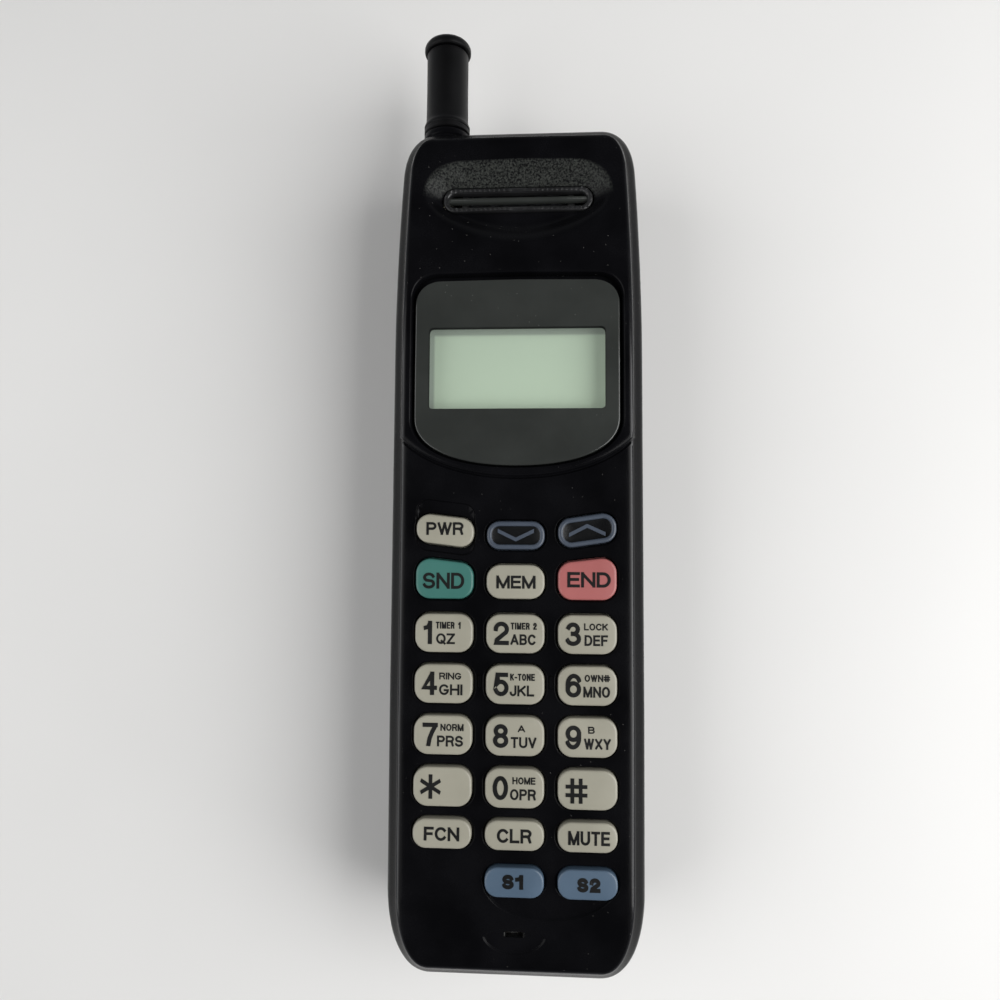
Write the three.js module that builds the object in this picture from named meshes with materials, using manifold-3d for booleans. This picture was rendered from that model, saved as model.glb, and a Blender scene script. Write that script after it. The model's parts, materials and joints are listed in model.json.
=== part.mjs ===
// Handheld cellular telephone of the early 1990s, lying on its back with its keys up.
// Millimetres. X is across the phone, +Y runs towards the earpiece and aerial, +Z points out of the face.
// The origin is the centre of the body's length and width, on the flat back of the battery pack.

import * as THREE from "three";
import { mergeVertices } from "three/addons/utils/BufferGeometryUtils.js";
import Module from "manifold-3d";

const wasm = await Module();
wasm.setup();

// ---------- driving dimensions ----------
const gap = 0.3; // between neighbouring pieces that touch on the real phone

const cell = { radius: 7, length: 48.6, nub: 1.4, nubRadius: 2.7, clearance: 0.2 };

const key = {
  width: 12.6,
  columnGap: 2.9,
  rowGap: 2.58,
  cornerRadius: 3.1,
  proud: 1.2, // above the face
  travel: 0.9,
  flange: 0.75, // hidden rim that keeps the key in
  flangeThickness: 1.5,
  pill: 1.3, // how far the contact pill hangs below the rim
  pillRadius: 2.2,
};
key.columnPitch = key.width + key.columnGap;
const digitRow = { first: -20.7, height: 8.3 };
digitRow.pitch = digitRow.height + key.rowGap;
const smallRow = { height: 6.2, functionGap: 2.56, softGap: 3.5 };
smallRow.functionTop = digitRow.first - 3 * digitRow.pitch - digitRow.height / 2 - smallRow.functionGap;
smallRow.softTop = smallRow.functionTop - smallRow.height - smallRow.softGap;
smallRow.low = smallRow.softTop - smallRow.height;
const body = {
  halfWidth: 3 * cell.radius + cell.clearance + 7.8, // three cells abreast, their case and its rails
  halfLength: 19.14 - smallRow.low, // the chin below the lowest keys, and as much above the centre
  topNarrowing: 1.4, // how much narrower each side is where the top corners start
  topCorner: [8.8, 11.1], // how far a top corner reaches in X and Y
  bottomCorner: [10.8, 18],
  straight: [-40, 45], // the sides are parallel between these
  wall: 2,
  headStep: 1.2, // how much thicker the face is round the display and earpiece
};
const topEnd = body.halfLength;
const bottomEnd = -body.halfLength;

const rail = { fromSide: 4.1, neck: 1.2, flange: 3.2, from: -62, to: 22, flangeThickness: 1.2, lidDepth: 2 };
const pack = { topEnd: 28.4, wall: 1.4, lid: 1.6, backWall: 1.3, clearance: 0.4 };
pack.thickness = pack.backWall + 2 * cell.radius + pack.lid + 2 * gap;

const mat = { thickness: 1, halfWidth: 23.2, top: 6.9 };

const screw = { x: body.halfWidth - 8.5, y: smallRow.low - 7, shank: 1, head: 2.2, headThickness: 0.6 };
screw.bossRadius = screw.shank + 1.9;

const board = { thickness: 1.2, parts: 4.3, keyTop: 61.8, tabHalfWidth: 12 };
board.halfWidth = body.halfWidth - body.wall - 3;
board.mainTop = topEnd - 13.9;
board.lowEnd = screw.y + screw.bossRadius + 1.5;
board.tabEnd = bottomEnd + 4.7;

const z = {}; // heights, from the table up
z.bayFloor = pack.thickness + pack.clearance;
z.rearInside = z.bayFloor + 1.6;
z.mainBoard = z.rearInside + 1.2;
z.parting = z.rearInside + 4.6;
z.keyBoard = z.parting + 3.6;
z.matTop = z.keyBoard + board.thickness + gap + mat.thickness;
z.keyCeiling = z.matTop + key.travel + 0.2 + key.flangeThickness + gap;
z.headCeiling = z.keyCeiling - body.headStep;
z.face = z.keyCeiling + body.wall;
z.plateau = z.face + 1;

const edge = { draft: 2.6, round: [3.2, 4.5], drop: 0.7 }; // how the front shell's edge leans and rounds

const plateau = { inset: [3, 3.35, 4.2], arcLow: 11.6, arcSide: 22.6 };
const lens = { halfWidth: 22.8, top: 57.8, low: 15.9, side: 26.5, corner: 6, thickness: 1.6, sunk: 0.4 };
const pocket = { side: 0.7, above: 1.5, below: 0.45 }; // how far its edge stands off the window plate
const display = { width: 39.3, height: 18.3, y: 37.7, glassWidth: 44, glassHeight: 24, glassThickness: 1.3 };

const ear = { y: topEnd - 18.2, slotLength: 34, slotHeight: 5.6, rim: 1.2 };
const dish = { halfWidth: 21.5, above: 8.6, below: 11.4, depth: 2.6 };
const speaker = { radius: 13, thickness: 5, gasket: 1 };
const mic = { y: bottomEnd + 10.5, radius: 3, slotLength: 4.5, slotHeight: 1.2 };
const micHollow = { halfWidth: 6.7, above: 1.9, below: 3.5, depth: 0.4 };

const aerial = {
  x: 11.4 - body.halfWidth,
  z: z.parting,
  travel: 100,
  sheathRadius: [5.5, 5.05],
  collarRadius: 5.5,
  neckRadius: 3,
  bossRadius: 5.6,
  rodRadius: 1.2,
  stopRadius: 1.9,
  stopLength: 5,
  tubeRadius: 2.9,
  bossLow: topEnd - 12.1,
  bushingLow: topEnd - 15.6,
  collarTop: topEnd + 2.1,
  rodTop: topEnd + 15.5,
  sheathTop: topEnd + 22.6,
  capRadius: 5.65,
  tip: topEnd + 25.9,
};

const latch = { width: 15.2, length: 8, y: 39.4, travel: 2, low: 2.3, plate: 1.4, tongueWidth: 8 };
const spring = { rise: 3.1, thickness: 0.4, width: 4 };
const railX = body.halfWidth - rail.fromSide;
const terminals = { width: 13, height: 4, z: 12 };
const socket = { width: 18, height: 4, depth: 7.5, slotWidth: 14, slotHeight: 2.2, front: bottomEnd + 0.5 };

// ---------- small tools ----------
const v2 = (x, y) => new THREE.Vector2(x, y);

// A closed mesh as a manifold-3d solid, and back.
function solid(geometry) {
  const bare = geometry.index ? geometry.toNonIndexed() : geometry.clone();
  bare.deleteAttribute("normal");
  bare.deleteAttribute("uv");
  const merged = mergeVertices(bare, 1e-4);
  return new wasm.Manifold(
    new wasm.Mesh({
      numProp: 3,
      vertProperties: merged.attributes.position.array,
      triVerts: new Uint32Array(merged.index.array),
    }),
  );
}

function geometryOf(made) {
  const mesh = made.getMesh();
  const stride = mesh.numProp;
  const position = new Float32Array(mesh.numVert * 3);
  for (let i = 0; i < mesh.numVert; i++) {
    position.set(mesh.vertProperties.subarray(i * stride, i * stride + 3), i * 3);
  }
  return new THREE.BufferGeometry()
    .setAttribute("position", new THREE.BufferAttribute(position, 3))
    .setIndex(new THREE.BufferAttribute(new Uint32Array(mesh.triVerts), 1));
}

const join = (...all) => all.reduce((a, b) => a.add(b));
const cut = (from, ...all) => all.reduce((a, b) => a.subtract(b), from);

function box(x0, x1, y0, y1, z0, z1) {
  const made = new THREE.BoxGeometry(x1 - x0, y1 - y0, z1 - z0);
  return solid(made.translate((x0 + x1) / 2, (y0 + y1) / 2, (z0 + z1) / 2));
}

function prism(points, z0, z1) {
  const shape = new THREE.Shape(points);
  const made = new THREE.ExtrudeGeometry(shape, { depth: z1 - z0, bevelEnabled: false });
  return solid(made.translate(0, 0, z0));
}

function post(x, y, radius, z0, z1, sides = 16) {
  const made = new THREE.CylinderGeometry(radius, radius, z1 - z0, sides);
  return solid(made.rotateX(Math.PI / 2).translate(x, y, (z0 + z1) / 2));
}

// A turned piece whose axis runs along Y, from [radius, y] pairs.
function turned(profile, x, atZ, sides = 20) {
  const made = new THREE.LatheGeometry(profile.map(([r, y]) => v2(r, y)), sides);
  return solid(made.translate(x, 0, atZ));
}

// A stack of outlines with the same number of points, each at its own height, skinned and capped.
function loft(rings) {
  const count = rings[0].points.length;
  const position = rings.flatMap((ring) => ring.points.flatMap((p) => [p.x, p.y, ring.z]));
  const index = [];
  for (let layer = 0; layer + 1 < rings.length; layer++) {
    for (let i = 0; i < count; i++) {
      const a = layer * count + i;
      const b = layer * count + ((i + 1) % count);
      index.push(a, b, b + count, a, b + count, a + count);
    }
  }
  const last = (rings.length - 1) * count;
  for (const [a, b, c] of THREE.ShapeUtils.triangulateShape(rings[0].points, [])) {
    index.push(a, c, b);
  }
  for (const [a, b, c] of THREE.ShapeUtils.triangulateShape(rings.at(-1).points, [])) {
    index.push(last + a, last + b, last + c);
  }
  const made = new THREE.BufferGeometry();
  made.setAttribute("position", new THREE.BufferAttribute(new Float32Array(position), 3));
  made.setIndex(index);
  return solid(made);
}

// A counter-clockwise outline moved outwards by a distance, or inwards if it is negative.
function offset(points, distance) {
  const n = points.length;
  return points.map((p, i) => {
    const before = points[(i + n - 1) % n];
    const after = points[(i + 1) % n];
    const a = v2(p.y - before.y, before.x - p.x).normalize();
    const b = v2(after.y - p.y, p.x - after.x).normalize();
    const reach = distance / (1 + a.dot(b));
    return v2(p.x + (a.x + b.x) * reach, p.y + (a.y + b.y) * reach);
  });
}

// A counter-clockwise polygon whose corners are arcs.
function roundedPolygon(corners, radius, steps = 3) {
  const n = corners.length;
  const points = [];
  corners.forEach(([x, y], i) => {
    const here = v2(x, y);
    const back = v2(...corners[(i + n - 1) % n]).sub(here).normalize();
    const ahead = v2(...corners[(i + 1) % n]).sub(here).normalize();
    const half = Math.acos(back.dot(ahead)) / 2;
    const centre = back.clone().add(ahead).normalize().multiplyScalar(radius / Math.sin(half)).add(here);
    const from = back.clone().multiplyScalar(radius / Math.tan(half)).add(here).sub(centre).angle();
    const sweep = Math.PI - 2 * half;
    for (let s = 0; s <= steps; s++) {
      const turn = from + (sweep * s) / steps;
      points.push(v2(centre.x + radius * Math.cos(turn), centre.y + radius * Math.sin(turn)));
    }
  });
  return points;
}

const rectangle = (x, y, width, height) => [
  [x - width / 2, y - height / 2],
  [x + width / 2, y - height / 2],
  [x + width / 2, y + height / 2],
  [x - width / 2, y + height / 2],
];

const stadium = (x, y, length, height, steps = 4) =>
  roundedPolygon(rectangle(x, y, length, height), 0.48 * height, steps);

// The right half of a symmetric outline, from bottom to top, completed with its left half.
function mirrored(points) {
  const left = points.filter((p) => p.x > 0.01).map((p) => v2(-p.x, p.y));
  return [...points, ...left.reverse()];
}

// ---------- outlines ----------
// The body seen from above, counter-clockwise.
function bodyOutline() {
  const { halfWidth: w, halfLength: l, topCorner: tc, bottomCorner: bc, straight } = body;
  const t = w - body.topNarrowing;
  const right = new THREE.Path();
  right.moveTo(w - bc[0], -l);
  right.bezierCurveTo(w - 0.36 * bc[0], -l, w - 0.4, -l + 0.42 * bc[1], w - 0.15, -l + bc[1]);
  right.lineTo(w, straight[0]);
  right.lineTo(w, straight[1]);
  right.quadraticCurveTo(w - 0.2, (straight[1] + l - tc[1]) / 2, t, l - tc[1]);
  right.bezierCurveTo(t - 0.3, l - 0.35 * tc[1], t - 0.4 * tc[0], l, t - tc[0], l);
  return mirrored(right.getPoints(6));
}
const outline = bodyOutline();
const ringAt = (height, inset) => ({ points: offset(outline, -inset), z: height });

// The glossy window plate: straight sides, rounded top corners, a wide arc below.
function lensOutline({ side: aside, above, below } = { side: 0, above: 0, below: 0 }) {
  const { side, corner } = lens;
  const w = lens.halfWidth + aside;
  const top = lens.top + above;
  const low = lens.low - below;
  const shape = new THREE.Path();
  shape.moveTo(0, low);
  shape.bezierCurveTo(0.55 * w, low, w, low + 3.2, w, side);
  shape.lineTo(w, top - corner);
  shape.bezierCurveTo(w, top - 0.4 * corner, w - 0.4 * corner, top - 0.2, w - corner, top - 0.2);
  shape.lineTo(0, top);
  return mirrored(shape.getPoints(6));
}

// The hollow round the earpiece: a flat-topped oval, deeper below than above.
function dishOutline() {
  const w = dish.halfWidth;
  const top = ear.y + dish.above;
  const low = ear.y - dish.below;
  const shape = new THREE.Path();
  shape.moveTo(0, low);
  shape.bezierCurveTo(0.5 * w, low, w, ear.y - 5, w, ear.y);
  shape.bezierCurveTo(w, ear.y + 5, 0.85 * w, top - 0.5, 0.6 * w, top - 0.3);
  shape.lineTo(0, top);
  return mirrored(shape.getPoints(5));
}

// ---------- keys ----------
// Each key by its name, its column (-1, 0, 1), where its lower and upper edges cross the column's centre line,
// and how those edges lean.
function keyTable() {
  const rows = [];
  const lean = 0.12;
  const add = (name, column, low, high, leanHigh = 0, leanLow = 0, colour = 0xb9b5a1) =>
    rows.push({ name, column, low, high, leanHigh, leanLow, colour });
  add("key_power", -1, -1.6, 4.7, -lean, -lean);
  add("key_down", 0, -2.5, 3.6, 0, 0, 0x2a3340);
  add("key_up", 1, -1.5, 4.9, lean + 0.03, lean + 0.03, 0x2a3340);
  add("key_send", -1, -13.3, -5, -lean, 0, 0x41756c);
  add("key_memory", 0, -13.2, -5.85);
  add("key_end", 1, -13.3, -4.7, lean, 0, 0xb0666a);
  ["1", "2", "3", "4", "5", "6", "7", "8", "9", "star", "0", "hash"].forEach((label, i) => {
    const centre = digitRow.first - Math.floor(i / 3) * digitRow.pitch;
    add("key_" + label, (i % 3) - 1, centre - digitRow.height / 2, centre + digitRow.height / 2);
  });
  const { height, functionTop, softTop, low } = smallRow;
  ["function", "clear", "mute"].forEach((label, i) =>
    add("key_" + label, i - 1, functionTop - height, functionTop),
  );
  add("key_s1", 0, low, softTop, 0, 0, 0x55708c);
  add("key_s2", 1, low, softTop, 0, 0, 0x55708c);
  return rows;
}
const keys = keyTable();

function keyOutline({ column, low, high, leanHigh, leanLow }) {
  const x = column * key.columnPitch;
  const half = key.width / 2;
  const corners = [
    [x - half, low - leanLow * half],
    [x + half, low + leanLow * half],
    [x + half, high + leanHigh * half],
    [x - half, high - leanHigh * half],
  ];
  return roundedPolygon(corners, Math.min(key.cornerRadius, 0.45 * (high - low)));
}

function keySolid(entry) {
  const points = keyOutline(entry);
  const top = z.face + key.proud;
  const flangeTop = z.keyCeiling - gap;
  const flangeLow = flangeTop - key.flangeThickness;
  const cap = loft([
    { points, z: flangeLow },
    { points, z: top - 0.5 },
    { points: offset(points, -0.6), z: top },
  ]);
  const flange = prism(offset(points, key.flange), flangeLow, flangeTop);
  const middle = (entry.low + entry.high) / 2;
  const x = entry.column * key.columnPitch;
  const pill = post(x, middle, key.pillRadius, flangeLow - key.pill, flangeLow + 0.5, 10);
  return join(cap, flange, pill);
}

// ---------- shells ----------
function plateauSolid() {
  const arc = new THREE.Path();
  const wide = body.halfWidth - 0.3;
  const beyond = body.halfWidth + 1;
  arc.moveTo(-beyond, plateau.arcSide + 1.7);
  arc.lineTo(-wide, plateau.arcSide);
  arc.bezierCurveTo(-0.8 * wide, plateau.arcLow + 3.2, -0.4 * wide, plateau.arcLow, 0, plateau.arcLow);
  arc.bezierCurveTo(0.4 * wide, plateau.arcLow, 0.8 * wide, plateau.arcLow + 3.2, wide, plateau.arcSide);
  arc.lineTo(beyond, plateau.arcSide + 1.7);
  arc.lineTo(beyond, body.halfLength + 1);
  arc.lineTo(-beyond, body.halfLength + 1);
  const region = prism(arc.getPoints(6), z.face - 2, z.plateau + 1);
  const [low, middle, top] = plateau.inset;
  const block = loft([
    ringAt(z.face - 1.2, low),
    ringAt(z.plateau - 0.5, middle),
    ringAt(z.plateau, top),
  ]);
  return block.intersect(region);
}

function aerialBoss(z0, z1) {
  const { bossRadius: r, bossLow: low } = aerial;
  const end = topEnd + gap;
  const tall = turned([[0, low], [r, low], [r, end], [0, end]], aerial.x, aerial.z, 24);
  return tall.intersect(box(-40, 40, 0, 120, z0, z1));
}

function aerialBore() {
  const r = aerial.neckRadius + gap;
  const low = aerial.bushingLow - 4;
  const end = topEnd + 3;
  return turned([[0, low], [r, low], [r, end], [0, end]], aerial.x, aerial.z, 16);
}

// The lens-shaped hollow round the microphone's slot.
function micRecess() {
  const { halfWidth: w, above, below, depth } = micHollow;
  const shape = new THREE.Path();
  shape.moveTo(0, mic.y - below);
  shape.quadraticCurveTo(0.6 * w, mic.y - below + 0.3, w, mic.y - 0.2);
  shape.quadraticCurveTo(0.6 * w, mic.y + above - 0.3, 0, mic.y + above);
  return prism(mirrored(shape.getPoints(4)), z.face - depth, z.face + 1);
}

// Ribs under the face that press the rubber mat onto its board, in the lanes between the key columns.
function matRibs() {
  const low = z.matTop + gap;
  return [-0.5, 0.5].map((lane) => {
    const x = lane * key.columnPitch;
    return box(x - 0.3, x + 0.3, -75, 5, low, z.keyCeiling + 0.3);
  });
}

function speakerRing() {
  const inner = speaker.radius + gap;
  const low = z.headCeiling - speaker.thickness;
  const ring = post(0, ear.y, inner + 1, low, z.headCeiling + 0.3, 24);
  return cut(ring, post(0, ear.y, inner, low - 1, z.headCeiling, 24));
}

const socketOpening = () => {
  const z0 = z.mainBoard + board.thickness;
  const half = socket.width / 2 + gap;
  return box(-half, half, bottomEnd - 4, socket.front + socket.depth, z0, z0 + socket.height + 2 * gap);
};

const atScrews = (make) => [make(-screw.x), make(screw.x)];

function frontShell() {
  const low = z.parting + gap / 2;
  const skin = loft([
    ringAt(low, 0),
    ringAt(z.face - 1.9, edge.draft),
    ringAt(z.face - edge.drop, edge.round[0]),
    ringAt(z.face, edge.round[1]),
  ]);
  const hollow = loft([ringAt(low - 1, body.wall), ringAt(z.keyCeiling, body.wall + edge.draft)]);
  const headFloor = box(-40, 40, 12, 120, z.headCeiling, z.face);
  const bosses = atScrews((x) => post(x, screw.y, screw.bossRadius, low, z.keyCeiling + 0.5));
  const pilots = atScrews((x) => post(x, screw.y, screw.shank + gap, low - 1, z.face - 3, 12));
  const nibs = [-0.5, 0.5].map((column) => {
    const x = column * key.columnPitch;
    const y = digitRow.first - digitRow.pitch;
    return box(x - 0.45, x + 0.45, y - 1.5, y + 1.5, z.face - 0.5, z.face + 0.4);
  });
  const powerPocket = roundedPolygon([[-22, -2.6], [-9, -4.2], [-9, 7.2], [-22, 8.8]], 2.6);
  const holes = keys.map((entry) => prism(offset(keyOutline(entry), gap), z.keyCeiling - 1, z.face + 3));
  const pocketFloor = z.plateau - lens.sunk - lens.thickness - gap;
  const rim = dishOutline();
  const hollowAbove = loft([
    { points: rim.map((p) => v2(p.x * 0.8, ear.y + (p.y - ear.y) * 0.45)), z: z.plateau - dish.depth },
    { points: rim, z: z.plateau },
    { points: rim, z: z.plateau + 1 },
  ]);
  const windowHole = roundedPolygon(rectangle(0, display.y, display.width + 2, display.height + 2), 1.5, 2);
  const earSlot = stadium(0, ear.y, ear.slotLength + 2 * gap, ear.slotHeight + 2 * gap);
  const inside = [...bosses, ...matRibs(), speakerRing(), aerialBoss(low, z.face)];
  return cut(
    join(cut(skin, cut(hollow, headFloor)), plateauSolid(), ...nibs, ...inside),
    ...pilots,
    micRecess(),
    ...holes,
    prism(powerPocket, z.face - 0.5, z.face + 3),
    prism(lensOutline(pocket), pocketFloor, z.plateau + 2),
    prism(windowHole, z.headCeiling - 1, z.face + 2),
    hollowAbove,
    prism(earSlot, z.headCeiling - 1, z.plateau),
    prism(stadium(0, mic.y + 0.6, mic.slotLength, mic.slotHeight, 3), z.keyCeiling - 1, z.face + 1),
    aerialBore(),
    socketOpening(),
  );
}

function rearShell() {
  const top = z.parting - gap / 2;
  const headLow = 0;
  const wallFrom = pack.topEnd + pack.clearance;
  const wallTo = wallFrom + 1.6;
  const tray = loft([ringAt(z.bayFloor, 0.4), ringAt(top, 0)]);
  const headBlock = loft([
    ringAt(headLow, 4.2),
    ringAt(headLow + 0.8, 2.6),
    ringAt(headLow + 3.6, 1.4),
    ringAt(z.bayFloor + 0.5, 0.4),
  ]).intersect(box(-40, 40, wallFrom, 120, 0, 60));
  const trayHollow = loft([ringAt(z.rearInside, body.wall + 0.4), ringAt(top + 1, body.wall)]);
  const headHollow = loft([
    ringAt(headLow + 1.8, 5.4),
    ringAt(headLow + 4.6, 3.4),
    ringAt(z.rearInside + 1, 2.4),
  ]).intersect(box(-40, 40, wallTo, 120, 0, 60));
  const rails = [-1, 1].flatMap((side) => {
    const x = side * railX;
    const flangeTop = z.bayFloor - pack.clearance - rail.lidDepth;
    const across = (width, z0, z1) => box(x - width / 2, x + width / 2, rail.from, rail.to, z0, z1);
    return [
      across(rail.neck, flangeTop - 0.1, z.bayFloor + 0.4),
      across(rail.flange, flangeTop - rail.flangeThickness, flangeTop),
    ];
  });
  const saddles = [[12, z.rearInside - 0.3], [58, headLow + 1]].map(([y, low]) =>
    box(aerial.x - 2, aerial.x + 2, y - 2, y + 2, low, aerial.z - aerial.tubeRadius - gap),
  );
  const boardRibs = [-68, -40, -8].map((y) =>
    box(-12, 23, y - 0.6, y + 0.6, z.rearInside - 0.3, z.mainBoard - gap),
  );
  const bosses = atScrews((x) => post(x, screw.y, screw.bossRadius, z.rearInside - 0.3, top));
  const screwHoles = [
    ...atScrews((x) => post(x, screw.y, screw.shank + gap, z.bayFloor - 1, top + 1, 12)),
    ...atScrews((x) => post(x, screw.y, screw.head + gap, z.bayFloor - 1, z.bayFloor + 0.8)),
  ];
  const latchWindow = prism(offset(latchPad(), gap), headLow - 1, headLow + 3);
  const shell = cut(join(tray, headBlock), trayHollow, headHollow);
  return cut(
    join(shell, ...rails, ...saddles, ...boardRibs, ...bosses, latchBridge(), aerialBoss(0, top)),
    ...screwHoles,
    latchWindow,
    tonguePassage(wallFrom - 1, wallTo + 1),
    terminalBlock(wallFrom - 1, wallTo + 1, gap),
    aerialBore(),
    socketOpening(),
  );
}

// ---------- display ----------
function displayLens() {
  const top = z.plateau - lens.sunk;
  const points = lensOutline();
  return loft([
    { points, z: top - lens.thickness },
    { points, z: top - 0.3 },
    { points: offset(points, -0.3), z: top },
  ]);
}

function lcdHolder() {
  const low = z.keyBoard + board.thickness + gap;
  const top = z.headCeiling - gap;
  const frame = rectangle(0, display.y, display.glassWidth + 4, display.glassHeight + 4);
  const outer = prism(roundedPolygon(frame, 1.5, 2), low, top);
  const seat = top - display.glassThickness - gap;
  const glassBox = rectangle(0, display.y, display.glassWidth + 2 * gap, display.glassHeight + 2 * gap);
  const stripY = display.y - display.glassHeight / 2 + 2;
  return cut(
    outer,
    prism(glassBox.map(([x, y]) => v2(x, y)), seat, top + 1),
    box(-20.6, 20.6, stripY - 1.5, stripY + 1.5, low - 1, seat + 1),
    box(-17, 17, display.y - 4, display.y + 9, low - 1, seat + 1),
  );
}

function lcdPanel() {
  const top = z.headCeiling - gap;
  const { glassWidth: w, glassHeight: h, y } = display;
  return box(-w / 2, w / 2, y - h / 2, y + h / 2, top - display.glassThickness, top);
}

function lcdConnectorStrip() {
  const low = z.keyBoard + board.thickness + gap;
  const stripY = display.y - display.glassHeight / 2 + 2;
  const top = z.headCeiling - gap - display.glassThickness - gap;
  return box(-20.3, 20.3, stripY - 1.2, stripY + 1.2, low, top);
}

// ---------- boards and what is on them ----------
// Both boards narrow to a tab between the corner screws.
const boardTab = (low) =>
  box(-board.tabHalfWidth, board.tabHalfWidth, board.tabEnd, board.lowEnd + 1, low, low + board.thickness);

// The room between the shell's walls, for anything as wide as the phone.
const insideShell = () => prism(offset(outline, -(body.wall + edge.draft + gap)), 0, z.face);

function keypadBoard() {
  const { halfWidth, keyTop, thickness } = board;
  const plate = box(-halfWidth, halfWidth, board.lowEnd, keyTop, z.keyBoard, z.keyBoard + thickness);
  return join(plate, boardTab(z.keyBoard)).intersect(insideShell());
}

function keypadMat() {
  const low = z.matTop - mat.thickness;
  const bottom = smallRow.low - key.flange - 2;
  const outer = rectangle(0, (mat.top + bottom) / 2, 2 * mat.halfWidth, mat.top - bottom);
  const holes = keys.map((entry) => {
    const y = (entry.low + entry.high) / 2;
    return post(entry.column * key.columnPitch, y, key.pillRadius + gap, low - 1, z.matTop + 1, 10);
  });
  const bosses = atScrews((x) => post(x, screw.y, screw.bossRadius + gap, low - 1, z.matTop + 1));
  return cut(prism(roundedPolygon(outer, 3), low, z.matTop).intersect(insideShell()), ...bosses, ...holes);
}

function mainBoard() {
  const { halfWidth, mainTop, thickness } = board;
  const top = z.mainBoard + thickness;
  const plate = box(-halfWidth, halfWidth, board.lowEnd, mainTop, z.mainBoard, top);
  const tubeBay = box(-30, aerial.x + aerial.tubeRadius + 1, tubeEnd() - 1, topEnd, z.mainBoard - 1, top + 1);
  return cut(join(plate, boardTab(z.mainBoard)), tubeBay).intersect(insideShell());
}

function shieldCan() {
  const low = z.mainBoard + board.thickness + gap;
  const outer = box(-11.5, 22.6, -36, 37, low, low + board.parts);
  return cut(outer, box(-11, 22.1, -35.5, 36.5, low - 1, low + board.parts - 0.5));
}

// The radio's own screened block, hung under the main board in the deep head of the phone.
function transceiverModule() {
  const top = z.mainBoard - gap;
  const can = box(-10.5, 22, 34, 78, top - 8, top);
  const duplexer = box(-4, 20, 46, 74, top - 13, top - 7.5);
  return join(can, duplexer);
}

function boardConnector() {
  const low = z.mainBoard + board.thickness + gap;
  return box(-11, 11, -52.5, -47.5, low, z.keyBoard - gap);
}

function earpieceSpeaker() {
  const top = z.headCeiling - 2 * gap - speaker.gasket;
  const low = top - speaker.thickness;
  const basket = post(0, ear.y, speaker.radius, low + 1.6, top, 24);
  const magnet = post(0, ear.y, 8.5, low, low + 2, 20);
  const coneRecess = post(0, ear.y, speaker.radius - 2, top - 0.8, top + 1, 20);
  const dustCap = post(0, ear.y, 4, top - 1.2, top - 0.3, 16);
  return join(cut(join(basket, magnet), coneRecess), dustCap);
}

function earpieceGasket() {
  const top = z.headCeiling - gap;
  return cut(
    post(0, ear.y, speaker.radius, top - speaker.gasket, top, 24),
    box(1.5 - speaker.radius, speaker.radius - 1.5, ear.y - 4, ear.y + 4, top - 3, top + 1),
  );
}

// The slot's rim with its long bar across the middle, one moulding.
function earpieceGrille() {
  const { y, slotLength, slotHeight, rim } = ear;
  const top = z.plateau - dish.depth + 0.5;
  const low = z.headCeiling + gap;
  const outer = prism(stadium(0, y, slotLength, slotHeight), low, top);
  const opening = prism(stadium(0, y, slotLength - 2 * rim, slotHeight - 2 * rim), low - 1, top + 1);
  const bar = box(rim / 2 - slotLength / 2, slotLength / 2 - rim / 2, y - 0.2, y + 0.9, low, low + 1.1);
  return join(cut(outer, opening), bar);
}

function ringer() {
  const low = z.mainBoard + board.thickness + gap;
  return join(post(12, 50, 7, low, low + 3.6, 20), post(12, 50, 3, low + 3, low + 4.4, 12));
}

function microphone() {
  const low = z.keyBoard + board.thickness + gap;
  return join(
    post(0, mic.y, mic.radius, low, z.keyCeiling - gap - 0.4, 16),
    post(0, mic.y, mic.radius - 1, low + 1, z.keyCeiling - gap, 16),
  );
}

function accessorySocket() {
  const low = z.mainBoard + board.thickness + gap;
  const { front } = socket;
  const side = socket.width / 2;
  const block = box(-side, side, front, front + socket.depth, low, low + socket.height);
  const middle = low + socket.height / 2;
  const half = socket.slotWidth / 2;
  const rise = socket.slotHeight / 2;
  const slot = box(-half, half, front - 1, front + 5, middle - rise, middle + rise);
  const tongue = box(-half + 1, half - 1, front + 1, front + 6, middle - 0.35, middle + 0.35);
  return join(cut(block, slot), tongue);
}

function caseScrew(x) {
  const seat = z.bayFloor + 0.8 - gap;
  const low = seat - screw.headThickness;
  const head = post(x, screw.y, screw.head, low, seat, 14);
  const shank = post(x, screw.y, screw.shank, seat - 0.2, z.face - 3 - gap, 10);
  const slot = box(x - 3, x + 3, screw.y - 0.3, screw.y + 0.3, low - 1, low + 0.3);
  return cut(join(head, shank), slot);
}

// ---------- aerial ----------
function aerialBushing() {
  const { collarRadius, neckRadius, rodRadius, bushingLow, collarTop } = aerial;
  const bore = rodRadius + 0.4;
  const seat = topEnd + 2 * gap;
  const profile = [
    [bore, bushingLow],
    [neckRadius, bushingLow],
    [neckRadius, seat],
    [collarRadius, seat],
    [collarRadius, collarTop],
    [bore, collarTop],
    [bore, bushingLow],
  ];
  return turned(profile, aerial.x, aerial.z);
}

function aerialSheath() {
  const low = aerial.collarTop + gap;
  const [wide, slim] = aerial.sheathRadius;
  const bore = aerial.rodRadius + gap;
  const profile = [
    [0, aerial.rodTop + gap],
    [bore, aerial.rodTop + gap],
    [bore, low],
    [wide - 0.25, low],
    [wide, low + 0.3],
    [wide, low + 2.2],
    [slim, low + 2.6],
    [slim, aerial.sheathTop],
    [0, aerial.sheathTop],
  ];
  return turned(profile, aerial.x, aerial.z, 24);
}

function aerialCap() {
  const low = aerial.sheathTop + gap;
  const r = aerial.capRadius;
  const profile = [
    [0, low],
    [r - 0.3, low],
    [r, low + 0.5],
    [r - 0.4, low + 1.5],
    [r - 2, aerial.tip - 0.4],
    [0, aerial.tip],
  ];
  return turned(profile, aerial.x, aerial.z, 24);
}

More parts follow.
